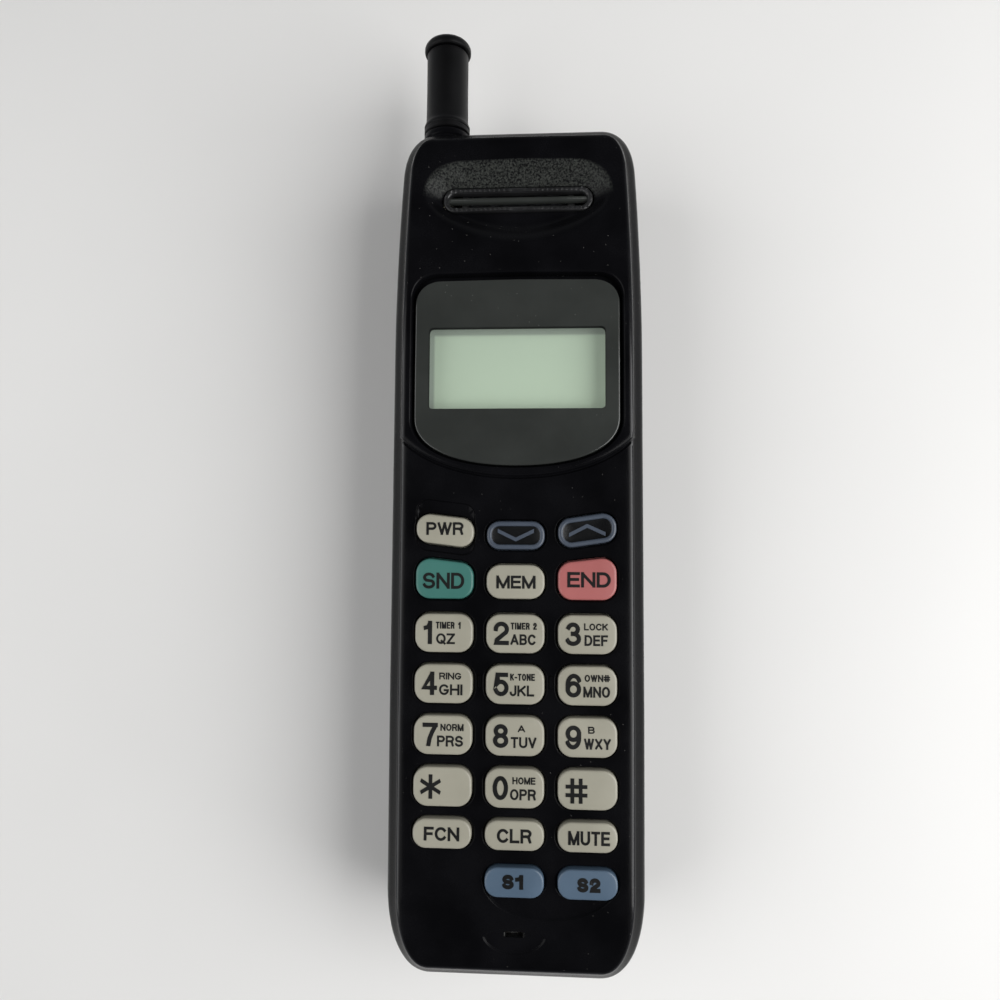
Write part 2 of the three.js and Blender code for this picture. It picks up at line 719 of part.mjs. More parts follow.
const stopTop = () => aerial.bushingLow - gap - aerial.travel;
const tubeEnd = () => stopTop() - aerial.stopLength - 1.2;

function aerialRod() {
  const { rodRadius: r, stopRadius: s, stopLength } = aerial;
  const top = stopTop();
  const low = top - stopLength;
  const end = aerial.rodTop;
  return turned([[0, low], [s, low], [s, top], [r, top], [r, end], [0, end]], aerial.x, aerial.z, 12);
}

function aerialGuideTube() {
  const outer = aerial.tubeRadius;
  const inner = aerial.stopRadius + gap;
  const top = aerial.bushingLow - gap;
  const low = tubeEnd();
  const profile = [[inner, low], [outer, low], [outer, top], [inner, top], [inner, low]];
  return turned(profile, aerial.x, aerial.z, 14);
}

// A spring strip that stands on the main board and presses on the bushing's neck.
function aerialContact() {
  const low = z.mainBoard + board.thickness + gap;
  const left = aerial.x + aerial.neckRadius + gap;
  const y = aerial.bushingLow;
  const foot = box(left, left + 6, y - 2.7, y + 1.3, low, low + 0.5);
  const arm = box(left, left + 0.5, y - 1.1, y + 2.9, low, aerial.z + 1.5);
  return join(foot, arm);
}

// ---------- battery pack ----------
const packSpan = (z0, z1) => box(-40, 40, -120, pack.topEnd, z0, z1);

function batteryCase() {
  const top = pack.thickness - pack.lid - gap;
  const skin = loft([ringAt(0, 4.5), ringAt(0.9, 2.9), ringAt(3.8, 1.5), ringAt(top, 0.7)]);
  const hollow = loft([
    ringAt(pack.backWall, 5.6),
    ringAt(4.4, 3),
    ringAt(top + 1, 0.7 + pack.wall),
  ]).intersect(box(-40, 40, -120, pack.topEnd - pack.wall, -1, 60));
  const railMouths = [-1, 1].map((side) => {
    const x = side * railX;
    const reach = rail.flange / 2 + gap;
    const low = pack.thickness - rail.lidDepth - rail.flangeThickness - gap;
    return box(x - reach, x + reach, pack.topEnd - 3, pack.topEnd + 1, low, pack.thickness);
  });
  return cut(
    skin.intersect(packSpan(-1, 60)),
    hollow,
    tonguePassage(pack.topEnd - 2.5, pack.topEnd + 1),
    terminalBlock(pack.topEnd - 2, pack.topEnd + 1, gap),
    ...railMouths,
  );
}

function batteryLid() {
  const low = pack.thickness - pack.lid;
  const plate = loft([ringAt(low, 0.7), ringAt(pack.thickness, 0.8)]).intersect(packSpan(-1, 60));
  const slots = [-1, 1].map((side) => {
    const reach = rail.neck / 2 + gap;
    return box(side * railX - reach, side * railX + reach, rail.from - gap, 60, low - 1, pack.thickness + 1);
  });
  return cut(plate, ...slots);
}

function batteryCell(column, row) {
  const { radius: r, length, nub, nubRadius, clearance } = cell;
  const end = pack.topEnd - pack.wall - 2.2 - nub - row * (length + nub + 0.8);
  const low = end - length;
  const middle = pack.backWall + gap + r;
  const profile = [[0, low], [r, low], [r, end], [nubRadius, end], [nubRadius, end + nub], [0, end + nub]];
  return turned(profile, column * (2 * r + clearance), middle, 16);
}

function terminalBlock(y0, y1, around = 0) {
  const half = terminals.width / 2 + around;
  const rise = terminals.height / 2 + around;
  return box(-half, half, y0, y1, terminals.z - rise, terminals.z + rise);
}

// ---------- battery latch ----------
// A sprung button pressed into the back, with a tongue that reaches into the pack.
const latchPad = () => roundedPolygon(rectangle(0, latch.y, latch.width, latch.length), 2);

function latchButton() {
  const { low, plate, tongueWidth, y } = latch;
  const pad = prism(latchPad(), 0.5, low + 0.2);
  const base = box(-10, 10, y - 6.2, y + 6, low, low + plate);
  const tongue = box(-tongueWidth / 2, tongueWidth / 2, pack.topEnd - 1.8, y, low, low + plate);
  return join(pad, base, tongue);
}

function tonguePassage(y0, y1) {
  const half = latch.tongueWidth / 2 + gap;
  return box(-half, half, y0, y1, latch.low - gap, latch.low + latch.plate + latch.travel + gap);
}

const springLow = latch.low + latch.plate + gap;
const springTop = springLow + spring.rise;

function latchBridge() {
  const top = springTop + gap + 1.3;
  const beam = box(-12, 12, latch.y - 3, latch.y + 3, springTop + gap, top);
  const legs = [-11.4, 11.4].map((x) => box(x - 0.8, x + 0.8, latch.y - 3, latch.y + 3, 1, top));
  return join(beam, ...legs);
}

// A bowed leaf: its ends stand on the button and its crown bears on the bridge.
function latchSpring() {
  const low = springLow;
  const { thickness, width } = spring;
  const line = [[-8, low], [-4, low + 2], [0, springTop - thickness], [4, low + 2], [8, low]];
  const back = line.map(([x, h]) => [x, h + thickness]).reverse();
  const shape = new THREE.Shape([...line, ...back].map(([x, h]) => v2(x, h)));
  const made = new THREE.ExtrudeGeometry(shape, { depth: width, bevelEnabled: false });
  return solid(made.rotateX(Math.PI / 2).translate(0, latch.y + width / 2, 0));
}

// ---------- assembly ----------
const phone = new THREE.Group();

const look = (color, roughness, metalness = 0) =>
  new THREE.MeshStandardMaterial({ color, roughness, metalness });
const blackPlastic = look(0x101012, 0.4);
const blackRubber = look(0x17171a, 0.7);
const darkMetal = look(0x55575c, 0.35, 1);
const boardGreen = look(0x1f5a3a, 0.6);
const tinned = look(0xa9abb0, 0.35, 1);
const gold = look(0xc9a24a, 0.3, 1);

function place(name, made, material) {
  const mesh = new THREE.Mesh(geometryOf(made), material);
  mesh.name = name;
  phone.add(mesh);
}

place("front_shell", frontShell(), blackPlastic);
place("rear_shell", rearShell(), blackPlastic);
place("display_lens", displayLens(), look(0x14150f, 0.15));
place("lcd_panel", lcdPanel(), look(0xadbda9, 0.3));
place("lcd_holder", lcdHolder(), look(0x2b2b2d, 0.6));
place("lcd_connector_strip", lcdConnectorStrip(), look(0x9b5560, 0.7));
place("keypad_mat", keypadMat(), look(0x8f8d84, 0.8));
place("keypad_board", keypadBoard(), boardGreen);
place("main_board", mainBoard(), boardGreen);
place("shield_can", shieldCan(), tinned);
place("transceiver_module", transceiverModule(), tinned);
place("board_connector", boardConnector(), look(0xd8d2bd, 0.5));
place("earpiece_speaker", earpieceSpeaker(), darkMetal);
place("earpiece_gasket", earpieceGasket(), blackRubber);
place("earpiece_grille", earpieceGrille(), blackPlastic);
place("ringer", ringer(), look(0x222224, 0.5));
place("microphone", microphone(), tinned);
place("accessory_socket", accessorySocket(), look(0x1c1c1e, 0.5));
place("case_screw_left", caseScrew(-screw.x), darkMetal);
place("case_screw_right", caseScrew(screw.x), darkMetal);
place("antenna_bushing", aerialBushing(), blackPlastic);
place("antenna_sheath", aerialSheath(), blackRubber);
place("antenna_cap", aerialCap(), blackRubber);
place("antenna_rod", aerialRod(), tinned);
place("antenna_guide_tube", aerialGuideTube(), look(0xd9d9d4, 0.5));
place("antenna_contact", aerialContact(), gold);
place("battery_case", batteryCase(), blackPlastic);
place("battery_lid", batteryLid(), blackPlastic);
[[-1, 0], [0, 0], [1, 0], [-1, 1], [0, 1]].forEach(([column, row], i) =>
  place("battery_cell_" + (i + 1), batteryCell(column, row), look(0x2f6f9a, 0.4)),
);
place("battery_pack_contacts", terminalBlock(pack.topEnd - 1.6, pack.topEnd - 0.2), gold);
place("battery_terminals", terminalBlock(pack.topEnd + gap, pack.topEnd + 4), gold);
place("battery_latch", latchButton(), blackPlastic);
place("latch_spring", latchSpring(), tinned);
keys.forEach((entry) => place(entry.name, keySolid(entry), look(entry.colour, 0.5)));

export default phone;
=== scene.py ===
# Early cellular handset on its back: fine shells, printed keys, window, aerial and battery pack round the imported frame.
# Sizes in the dictionaries are millimetres, in the frame's axes: X across, Y towards the aerial, Z out of the face.
import json
import math
import bpy
import numpy as np
from mathutils import Matrix, Vector
from mathutils.geometry import delaunay_2d_cdt

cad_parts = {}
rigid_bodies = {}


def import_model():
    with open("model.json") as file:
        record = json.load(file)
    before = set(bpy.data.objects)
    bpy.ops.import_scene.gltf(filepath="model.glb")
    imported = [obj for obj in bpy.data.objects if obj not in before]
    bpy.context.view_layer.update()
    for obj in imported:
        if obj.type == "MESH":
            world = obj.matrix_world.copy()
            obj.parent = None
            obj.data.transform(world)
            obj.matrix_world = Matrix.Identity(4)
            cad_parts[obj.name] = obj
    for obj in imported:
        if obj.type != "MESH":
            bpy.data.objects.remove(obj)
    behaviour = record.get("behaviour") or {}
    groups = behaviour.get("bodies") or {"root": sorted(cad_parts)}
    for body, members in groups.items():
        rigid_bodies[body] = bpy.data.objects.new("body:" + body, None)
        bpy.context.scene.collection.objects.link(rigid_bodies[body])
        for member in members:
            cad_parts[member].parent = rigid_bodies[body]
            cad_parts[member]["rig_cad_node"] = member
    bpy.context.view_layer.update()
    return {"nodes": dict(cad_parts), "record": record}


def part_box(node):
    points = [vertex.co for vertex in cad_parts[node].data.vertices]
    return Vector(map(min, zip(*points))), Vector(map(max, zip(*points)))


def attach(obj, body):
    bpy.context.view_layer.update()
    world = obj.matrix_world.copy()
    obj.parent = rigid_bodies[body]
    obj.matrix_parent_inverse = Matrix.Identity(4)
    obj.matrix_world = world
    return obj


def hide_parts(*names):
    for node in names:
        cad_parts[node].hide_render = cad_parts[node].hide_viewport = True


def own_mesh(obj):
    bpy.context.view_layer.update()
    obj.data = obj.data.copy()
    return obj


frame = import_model()
mm = 0.001
scene = bpy.context.scene
slotOf = {part["node"]: part["material_slot"] for part in frame["record"]["subparts"]}
print("frame loaded:", len(frame["nodes"]), "nodes")

# camera: close above the face, a little off the middle
eye = {"place": (6.17, -2.63, 200.53), "turn": (-3.787, -3.351, -0.139), "lens": 27.18}
cameraData = bpy.data.cameras.new("eye")
cameraData.lens = eye["lens"]
cameraData.sensor_width = 36
cameraData.clip_start = 0.01
camera = bpy.data.objects.new("eye", cameraData)
turn = Matrix.Identity(3)
for axis, degrees in zip("XYZ", eye["turn"]):
    turn = Matrix.Rotation(math.radians(degrees), 3, axis) @ turn
camera.matrix_world = Matrix.Translation(Vector(eye["place"]) * mm) @ turn.transposed().to_4x4()
scene.collection.objects.link(camera)
scene.camera = camera
scene.view_settings.view_transform = "Standard"


# shader maths: sockets that add, multiply and map like numbers
class Wire:  # one socket on its way through a material
    def __init__(self, tree, socket):
        self.tree, self.socket = tree, socket

    def make(self, kind, settings=None, sockets=None, out=0):
        node = self.tree.nodes.new(kind)
        for name, value in (settings or {}).items():
            setattr(node, name, value)
        for name, value in (sockets or {}).items():
            if isinstance(value, Wire):
                self.tree.links.new(value.socket, node.inputs[name])
            else:
                node.inputs[name].default_value = value
        return Wire(self.tree, node.outputs[out])

    def calc(self, operation, first, second=0.0):
        return self.make("ShaderNodeMath", {"operation": operation}, {0: first, 1: second})

    def __add__(self, other): return self.calc("ADD", self, other)
    def __sub__(self, other): return self.calc("SUBTRACT", self, other)
    def __rsub__(self, other): return self.calc("SUBTRACT", other, self)
    def __mul__(self, other): return self.calc("MULTIPLY", self, other)
    def __pow__(self, other): return self.calc("POWER", self, other)

    def band(self, low, high, first=0.0, last=1.0):  # maps low..high to first..last, held at both ends
        return self.make("ShaderNodeMapRange", {"clamp": True}, {"Value": self, "From Min": low, "From Max": high,
                                                               "To Min": first, "To Max": last})

    def noise(self, perMetre, detail=2.0, rough=0.5):
        return self.make("ShaderNodeTexNoise", {}, {"Vector": self, "Scale": perMetre, "Detail": detail,
                                                  "Roughness": rough})

    def specks(self, perMetre, size):  # small scattered dots
        near = self.make("ShaderNodeTexVoronoi", {"feature": "F1"}, {"Vector": self, "Scale": perMetre})
        return near.calc("LESS_THAN", near, size)

    def tint(self, first, second):  # first where self is 0, second where it is 1
        return self.make("ShaderNodeMix", {"data_type": "RGBA"}, {0: self, 6: first, 7: second}, out=2)

    def axis(self, which):
        return self.make("ShaderNodeSeparateXYZ", {}, {0: self}, out=which)

    def bump(self, strength, depth):
        return self.make("ShaderNodeBump", {}, {"Height": self, "Strength": strength, "Distance": depth})


def colour(red, green, blue):  # 0..255 as seen, to scene linear
    linear = [c / 255 / 12.92 if c <= 10 else ((c / 255 + 0.055) / 1.055) ** 2.4 for c in (red, green, blue)]
    return (*linear, 1)


def startMaterial(name):
    material = bpy.data.materials.new(name)
    material.use_nodes = True
    tree = material.node_tree
    tree.nodes.clear()
    coordinates = tree.nodes.new("ShaderNodeTexCoord")
    return material, Wire(tree, coordinates.outputs["Object"])


def endMaterial(material, at, sockets):
    surface = at.make("ShaderNodeBsdfPrincipled", {}, sockets)
    output = at.tree.nodes.new("ShaderNodeOutputMaterial")
    at.tree.links.new(surface.socket, output.inputs["Surface"])
    material.diffuse_color = (0.5, 0.5, 0.5, 1)
    return material


def plastic(name, base, rough=0.42, grain=5200.0, grainDepth=0.00003, mottle=0.25, specular=0.5, dust=0.0, wear_and_painted_light=False,
            coat=0.0):
    material, at = startMaterial(name)
    cloud = at.noise(90, 3)
    fine = at.noise(grain, 2, 0.6)
    shade = cloud.band(0.35, 0.65)
    dark = tuple(c * (1 - mottle) for c in base[:3]) + (1,)
    light = tuple(min(1, c * (1 + mottle)) for c in base[:3]) + (1,)
    tone = shade.tint(dark, light)
    roughness = cloud.band(0.3, 0.7, rough - 0.05, rough + 0.05) + (fine - 0.5) * 0.12
    if dust:
        lint = at.specks(650, 0.045) * at.noise(25).band(0.5, 0.62)
        tone = (lint * dust).tint(tone, (0.3, 0.29, 0.27, 1))
        roughness = roughness + lint * 0.3
    if wear_and_painted_light:
        # painted light: the ear hollow's upper slope is lightened in pitted specks, standing in for its lit side,
        # besides its coarser grain
        coarse = at.make("ShaderNodeAttribute", {"attribute_name": "coarse"}, out=2)
        lit_pits = coarse * at.noise(2300, 3, 0.7).band(0.4, 0.62)
        tone = lit_pits.tint(tone, colour(58, 60, 57))
        roughness = roughness + coarse * 0.22
        # rubbed wear plus painted sheen: the shoulder band along the highlight line gets a slightly lighter tone
        edge = at.make("ShaderNodeAttribute", {"attribute_name": "edge"}, out=2)
        rub_and_sheen = edge * at.noise(260, 4, 0.7).band(0.35, 0.7)
        tone = (rub_and_sheen * 0.35).tint(tone, colour(30, 31, 34))
        roughness = roughness - rub_and_sheen * 0.1
        coat = edge * 0.9 + coat
    return endMaterial(material, at, {"Base Color": tone, "Roughness": roughness, "Specular IOR Level": specular,
                                      "Coat Weight": coat, "Coat Roughness": 0.12,
                                      "Normal": fine.bump(0.35, grainDepth)})


def metal(name, base, rough=0.3, brushed=900.0):
    material, at = startMaterial(name)
    streak = at.noise(brushed, 3, 0.6)
    tone = streak.band(0.3, 0.7).tint(tuple(c * 0.8 for c in base[:3]) + (1,), base)
    roughness = streak.band(0.3, 0.7, rough - 0.06, rough + 0.1)
    return endMaterial(material, at, {"Base Color": tone, "Metallic": 1.0, "Roughness": roughness,
                                      "Normal": streak.bump(0.15, 0.00002)})


def circuitBoard(name):
    material, at = startMaterial(name)
    traces = at.make("ShaderNodeTexBrick", {}, {"Vector": at, "Scale": 260.0, "Mortar Size": 0.03}, out=1)
    tone = (traces * 0.7).tint(colour(22, 66, 40), colour(60, 110, 62))
    return endMaterial(material, at, {"Base Color": tone, "Roughness": at.noise(900).band(0.3, 0.7, 0.32, 0.45),
                                      "Normal": traces.bump(0.4, 0.00004)})


paint = {
    "black": plastic("black plastic", colour(10, 10, 12), 0.25, 4200, 0.00007, dust=0.6, specular=0.05, wear_and_painted_light=True,
                     coat=0.04),
    "backBlack": plastic("black back plastic", colour(14, 15, 17), 0.42, grainDepth=0.00005, specular=0.15),
    "grille": plastic("black earpiece rim", colour(24, 24, 25), 0.36, 3400, 0.00008),
    "mask": plastic("window mask", colour(47, 49, 47), 0.14, 900, 0.000004, 0.1, dust=0.4),
    "rubber": plastic("aerial rubber", colour(9, 9, 10), 0.42, 3600, 0.00003, 0.2, 0.18),
    "seal": plastic("black rubber", colour(18, 18, 18), 0.7, 2600, 0.00003),
    "wrap": plastic("cell wrap", colour(52, 74, 96), 0.3, 1400, 0.00001, 0.15),
    "cream": plastic("cream moulding", colour(196, 188, 168), 0.45),
    "mat": plastic("key mat rubber", colour(92, 94, 96), 0.65, 2800, 0.00003),
    "dark": plastic("dark moulding", colour(28, 28, 30), 0.5),
    "sunk": plastic("sunk key centre", colour(11, 12, 13), 0.3, 4200, 0.00002, specular=0.3),
    "ink": plastic("key ink", colour(9, 9, 9), 0.45, 4200, 0.000005, 0.1, 0.3),
    "gold": metal("gold contact", (0.83, 0.62, 0.24, 1), 0.22),
    "tin": metal("tinned steel", (0.62, 0.62, 0.6, 1), 0.3),
    "steel": metal("dark steel", (0.16, 0.16, 0.17, 1), 0.35),
    "board": circuitBoard("circuit board"),
}
keyTones = {"beige": ((149, 146, 132), 0.04), "green": ((54, 106, 98), 0.05), "red": ((160, 92, 90), 0.05),
            "blue": ((74, 92, 110), 0.06), "slate": ((62, 70, 82), 0.08)}  # tone and mottle
for name, (tone, mottle) in keyTones.items():
    paint[name] = plastic(name + " key plastic", colour(*tone), 0.38, 4200, 0.00001, mottle)


def lcdMaterial():  # panel with a painted glow (emission) standing in for even light, a painted shadow strip along its left and upper edges, and a little darker towards the top
    material, at = startMaterial("lcd panel")
    x, y = at.axis(0), at.axis(1)
    # painted shadow of the window's mask along the left and upper edges
    painted_shadow_strip = 1 - x.band(-0.0192, -0.0187) * y.band(0.0459, 0.0464, 1, 0)
    shade = y.band(0.028, 0.047).tint(colour(182, 197, 178), colour(176, 190, 173))
    tone = (painted_shadow_strip * 0.85).tint(shade, colour(140, 148, 140))
    fine = at.noise(3200)
    # painted glow: the emission lifts the panel as if it were evenly lit
    return endMaterial(material, at, {"Base Color": tone, "Roughness": fine.band(0.3, 0.7, 0.3, 0.4),
                                      "Emission Color": tone, "Emission Strength": 0.32})


def clearMaterial():  # the unprinted middle of the window
    material, at = startMaterial("clear window")
    gloss = at.make("ShaderNodeBsdfPrincipled", {}, {"Base Color": (0.02, 0.02, 0.02, 1), "Roughness":
                    at.noise(60).band(0.3, 0.7, 0.05, 0.1)})
    clear = at.make("ShaderNodeBsdfTransparent", {}, {"Color": (0.96, 0.97, 0.96, 1)})
    both = at.make("ShaderNodeMixShader", {}, {0: 0.06, 1: clear, 2: gloss})
    output = at.tree.nodes.new("ShaderNodeOutputMaterial")
    at.tree.links.new(both.socket, output.inputs["Surface"])
    return material


paint["lcd"] = lcdMaterial()
paint["clear"] = clearMaterial()

nodePaint = {
    "black_plastic": "backBlack", "window": "mask", "lcd": "lcd", "dark_plastic": "dark", "conductive_rubber": "mat",
    "mat_rubber": "mat", "circuit_board": "board", "tinned_steel": "tin", "module_case": "dark",
    "cream_plastic": "cream", "dark_metal": "steel", "black_rubber": "seal", "antenna_rubber": "rubber",
    "gold_contact": "gold", "cell_wrap": "wrap",
}
print("materials made")


# outlines and mesh tools, all in millimetres
def bezier(a, b, c, d, steps):
    t = np.linspace(0, 1, steps + 1)[1:, None]
    a, b, c, d = (np.array(p, float) for p in (a, b, c, d))
    return ((1 - t) ** 3 * a + 3 * (1 - t) ** 2 * t * b + 3 * (1 - t) * t ** 2 * c + t ** 3 * d).tolist()


def mirrored(half):  # a right half from its low point to its high one, closed on the left
    half = [tuple(p) for p in half]
    left = [(-x, y) for x, y in reversed(half) if x > 1e-6]
    return np.array(half + left)


def rounded(corners, radius, steps=7):
    points = []
    for i, corner in enumerate(corners):
        here = np.array(corner, float)
        before = np.array(corners[i - 1], float) - here
        after = np.array(corners[(i + 1) % len(corners)], float) - here
        before /= np.linalg.norm(before)
        after /= np.linalg.norm(after)
        half = math.acos(np.clip(before @ after, -1, 1)) / 2
        middle = here + (before + after) / np.linalg.norm(before + after) * radius / math.sin(half)
        start = here + before * radius / math.tan(half) - middle
        end = here + after * radius / math.tan(half) - middle
        sweep = math.pi - 2 * half
        for k in range(steps + 1):
            a = k / steps
            points.append(middle + (math.sin((1 - a) * sweep) * start + math.sin(a * sweep) * end) / math.sin(sweep))
    return np.array(points)


def rectangle(cx, cy, width, height, radius, steps=7):
    x, y = width / 2, height / 2
    return rounded([(cx - x, cy - y), (cx + x, cy - y), (cx + x, cy + y), (cx - x, cy + y)], radius, steps)


def grown(loop, by):  # moves each edge outwards by this much; less than 0 goes inwards
    before, after = np.roll(loop, 1, 0), np.roll(loop, -1, 0)
    first, second = loop - before, after - loop
    n1 = np.stack([first[:, 1], -first[:, 0]], 1) / np.linalg.norm(first, axis=1)[:, None]
    n2 = np.stack([second[:, 1], -second[:, 0]], 1) / np.linalg.norm(second, axis=1)[:, None]
    n = n1 + n2
    return loop + n * (2 * by / np.maximum((n * n).sum(1), 0.4))[:, None]


def depthInside(loop, points):  # distance to a closed loop, more than 0 inside; far points get -99
    deep = np.full(len(points), -99.0)
    near = np.all((points > loop.min(0) - 6) & (points < loop.max(0) + 6), axis=1)
    index = np.nonzero(near)[0]
    a, b = loop, np.roll(loop, -1, 0)
    for chunk in np.array_split(index, max(1, len(index) // 4000)):
        if not len(chunk):
            continue
        p = points[chunk][:, None, :]
        side = b - a
        t = np.clip(((p - a) * side).sum(2) / np.maximum((side * side).sum(1), 1e-12), 0, 1)
        away = np.linalg.norm(p - a - t[..., None] * side, axis=2).min(1)
        crossing = ((a[:, 1] > p[..., 1]) != (b[:, 1] > p[..., 1])) & (
            p[..., 0] < side[:, 0] * (p[..., 1] - a[:, 1]) / np.where(side[:, 1] == 0, 1e-12, side[:, 1]) + a[:, 0])
        deep[chunk] = np.where(crossing.sum(1) % 2 == 1, away, -away)
    return deep


def circleLoop(cx, cy, radius, count):
    angles = np.linspace(0, 2 * math.pi, count, False)
    return np.array([(cx + radius * math.cos(a), cy + radius * math.sin(a)) for a in angles])


def triangulated(loops, lines=()):  # closed loops and open lines become the edges of one flat triangulation
    points, edges = [], []
    for path, joins in [(loop, len(loop)) for loop in loops] + [(line, len(line) - 1) for line in lines]:
        first, count = len(points), len(path)
        points += [tuple(p) for p in path]
        edges += [(first + i, first + (i + 1) % count) for i in range(joins)]
    flat, _, faces, _, _, _ = delaunay_2d_cdt([Vector(p) for p in points], edges, [], 0, 1e-4)
    flat = np.array([tuple(v) for v in flat])
    faces = np.array([f[:] for f in faces])
    return flat, faces, flat[faces].mean(1)


def newPiece(name, vertices, faces, finishes, faceFinish=None, marks=None, smooth=38):
    mesh = bpy.data.meshes.new(name)
    mesh.from_pydata((np.array(vertices) * mm).tolist(), [], faces)
    for mark, values in (marks or {}).items():
        mesh.attributes.new(mark, "FLOAT", "POINT").data.foreach_set("value", np.asarray(values, np.float32))
    for finish in finishes:
        mesh.materials.append(paint[finish])
    if faceFinish is not None:
        mesh.polygons.foreach_set("material_index", np.asarray(faceFinish, np.int32))
    mesh.validate()
    mesh.shade_smooth()
    mesh.set_sharp_from_angle(angle=math.radians(smooth))
    piece = bpy.data.objects.new(name, mesh)
    scene.collection.objects.link(piece)
    return piece


def evenNormals(piece):
    tidy = piece.modifiers.new("even normals", "WEIGHTED_NORMAL")
    tidy.keep_sharp = True
    tidy.weight = 60
    return piece


# A closed shell between two skins over one flat triangulation. Each skin gives a height for every point.
def moulded(name, outline, loops, holes, top, bottom, finishes, finishOf=None, marksOf=None, lines=()):
    flat, faces, middle = triangulated([outline, *loops, *holes], lines)
    keep = depthInside(outline, middle) > 0
    for hole in holes:
        keep &= depthInside(hole, middle) < 0
    faces = faces[keep]
    used = np.unique(faces)
    new = np.full(len(flat), -1)
    new[used] = np.arange(len(used))
    flat, faces = flat[used], new[faces]
    a, b, c = flat[faces[:, 0]], flat[faces[:, 1]], flat[faces[:, 2]]
    turned = (b[:, 0] - a[:, 0]) * (c[:, 1] - a[:, 1]) - (b[:, 1] - a[:, 1]) * (c[:, 0] - a[:, 0]) < 0
    faces[turned] = faces[turned][:, ::-1]
    high, low = top(flat), bottom(flat)
    count = len(flat)
    pinched = high - low < 1e-3  # the two skins meet: one vertex serves both
    lowIndex = np.where(pinched, np.arange(count), np.arange(count) + count)
    vertices = np.concatenate([np.column_stack([flat, high]), np.column_stack([flat, low])])
    made = [tuple(f) for f in faces] + [tuple(lowIndex[f[::-1]]) for f in faces]
    kind = [0] * len(made)
    if finishOf:
        upper = finishOf(flat[faces].mean(1))
        kind[: len(faces)] = list(upper)
    edgeSet = {(f[i], f[(i + 1) % 3]) for f in faces.tolist() for i in range(3)}
    for p, q in edgeSet:
        if (q, p) not in edgeSet:
            wall = [q, p, int(lowIndex[p]), int(lowIndex[q])]
            wall = [v for i, v in enumerate(wall) if v not in wall[:i]]
            if len(wall) > 2:
                made.append(tuple(wall))
                kind.append(0)
    usedBoth = np.unique(np.concatenate([np.array(f) for f in made]))
    renumber = np.full(2 * count, -1)
    renumber[usedBoth] = np.arange(len(usedBoth))
    made = [tuple(int(renumber[v]) for v in f) for f in made]
    marks = {mark: np.concatenate([value, np.zeros(count)])[usedBoth] for mark, value in
             (marksOf(flat) if marksOf else {}).items()}
    return newPiece(name, vertices[usedBoth], made, finishes, kind, marks)


def turnedPiece(name, profile, centre, finish, segments=64):  # profile of (along Y, radius), from a point to a point
    rings = [(y, r) for y, r in profile if r > 1e-6]
    angles = np.linspace(0, 2 * math.pi, segments, endpoint=False)
    vertices = [(centre[0] + r * math.cos(a), y, centre[1] + r * math.sin(a)) for y, r in rings for a in angles]
    faces = []
    for i in range(len(rings) - 1):
        for k in range(segments):
            n = (k + 1) % segments
            faces.append((i * segments + k, (i + 1) * segments + k, (i + 1) * segments + n, i * segments + n))
    for ring, end in ((0, profile[0][0]), (len(rings) - 1, profile[-1][0])):
        tip = len(vertices)
        vertices.append((centre[0], end, centre[1]))
        for k in range(segments):
            n = (k + 1) % segments
            pair = (ring * segments + k, ring * segments + n)
            faces.append((tip, *pair) if ring == 0 else (tip, *pair[::-1]))
    return newPiece(name, vertices, faces, [finish], smooth=32)


def cutWith(piece, loop, axis, low, high):  # cuts a prism through a finished piece
    place = {"Y": lambda u, v, t: (u, t, v), "Z": lambda u, v, t: (u, v, t)}[axis]
    count = len(loop)
    vertices = [place(u, v, low) for u, v in loop] + [place(u, v, high) for u, v in loop]
    faces = [tuple(range(count))[::-1], tuple(range(count, 2 * count))]
    faces += [(i, (i + 1) % count, count + (i + 1) % count, count + i) for i in range(count)]
    if axis == "Y":
        faces = [f[::-1] for f in faces]
    cutter = newPiece("cutter", vertices, faces, [])
    cutter.data.materials.append(piece.data.materials[0])
    step = piece.modifiers.new("cut", "BOOLEAN")
    step.operation, step.object, step.solver = "DIFFERENCE", cutter, "EXACT"
    bpy.context.view_layer.update()
    result = bpy.data.meshes.new_from_object(piece.evaluated_get(bpy.context.evaluated_depsgraph_get()))
    piece.modifiers.clear()
    result.name = piece.name
    piece.data = result
    bpy.data.objects.remove(cutter)
    return piece


def smoothStep(t):
    t = np.clip(t, 0, 1)
    return t * t * (3 - 2 * t)


# outlines of the phone
shell = {
    "halfWidth": 29.0, "halfLength": 95.09, "parting": 24.25, "headCeiling": 31.9, "keyCeiling": 33.1,
    "ceilingStep": (11, 13), "wall": 3.35, "aerialAxis": (-17.6, 24.1), "aerialHole": 5.65, "aerialCut": (88, 99),
    "socketHole": (9.3, 21.9, 26.5), "socketCut": (-99, -90),
}


def bodyOutline():
    w, l = shell["halfWidth"], shell["halfLength"]
    t = w - 1.4
    half = [(0, -l), (w - 10.8, -l)]
    half += bezier((w - 10.8, -l), (w - 3.89, -l), (w - 0.4, -l + 7.56), (w - 0.15, -l + 18), 22)
    half += [(w, y) for y in np.linspace(-40, 45, 18)]
    bend = (w - 0.2, (45 + l - 11.1) / 2)
    half += bezier((w, 45), (w + (bend[0] - w) * 2 / 3, 45 + (bend[1] - 45) * 2 / 3),
                   (t + (bend[0] - t) * 2 / 3, l - 11.1 + (bend[1] - l + 11.1) * 2 / 3), (t, l - 11.1), 12)
    half += bezier((t, l - 11.1), (t - 0.3, l - 3.885), (t - 3.52, l), (t - 8.8, l), 20)
    half += [(0, l)]
    return mirrored(half)


outline = bodyOutline()
arc = bezier((-28.7, 22.6), (-22.96, 14.8), (-11.48, 11.6), (0, 11.6), 22)
arc = np.array([(-31, 25.6), (-28.7, 22.6)] + arc + [(-x, y) for x, y in reversed(arc[:-1])] +
               [(28.7, 22.6), (31, 25.6)])
aboveArc = np.array(arc.tolist() + [(31, 110), (-31, 110)])


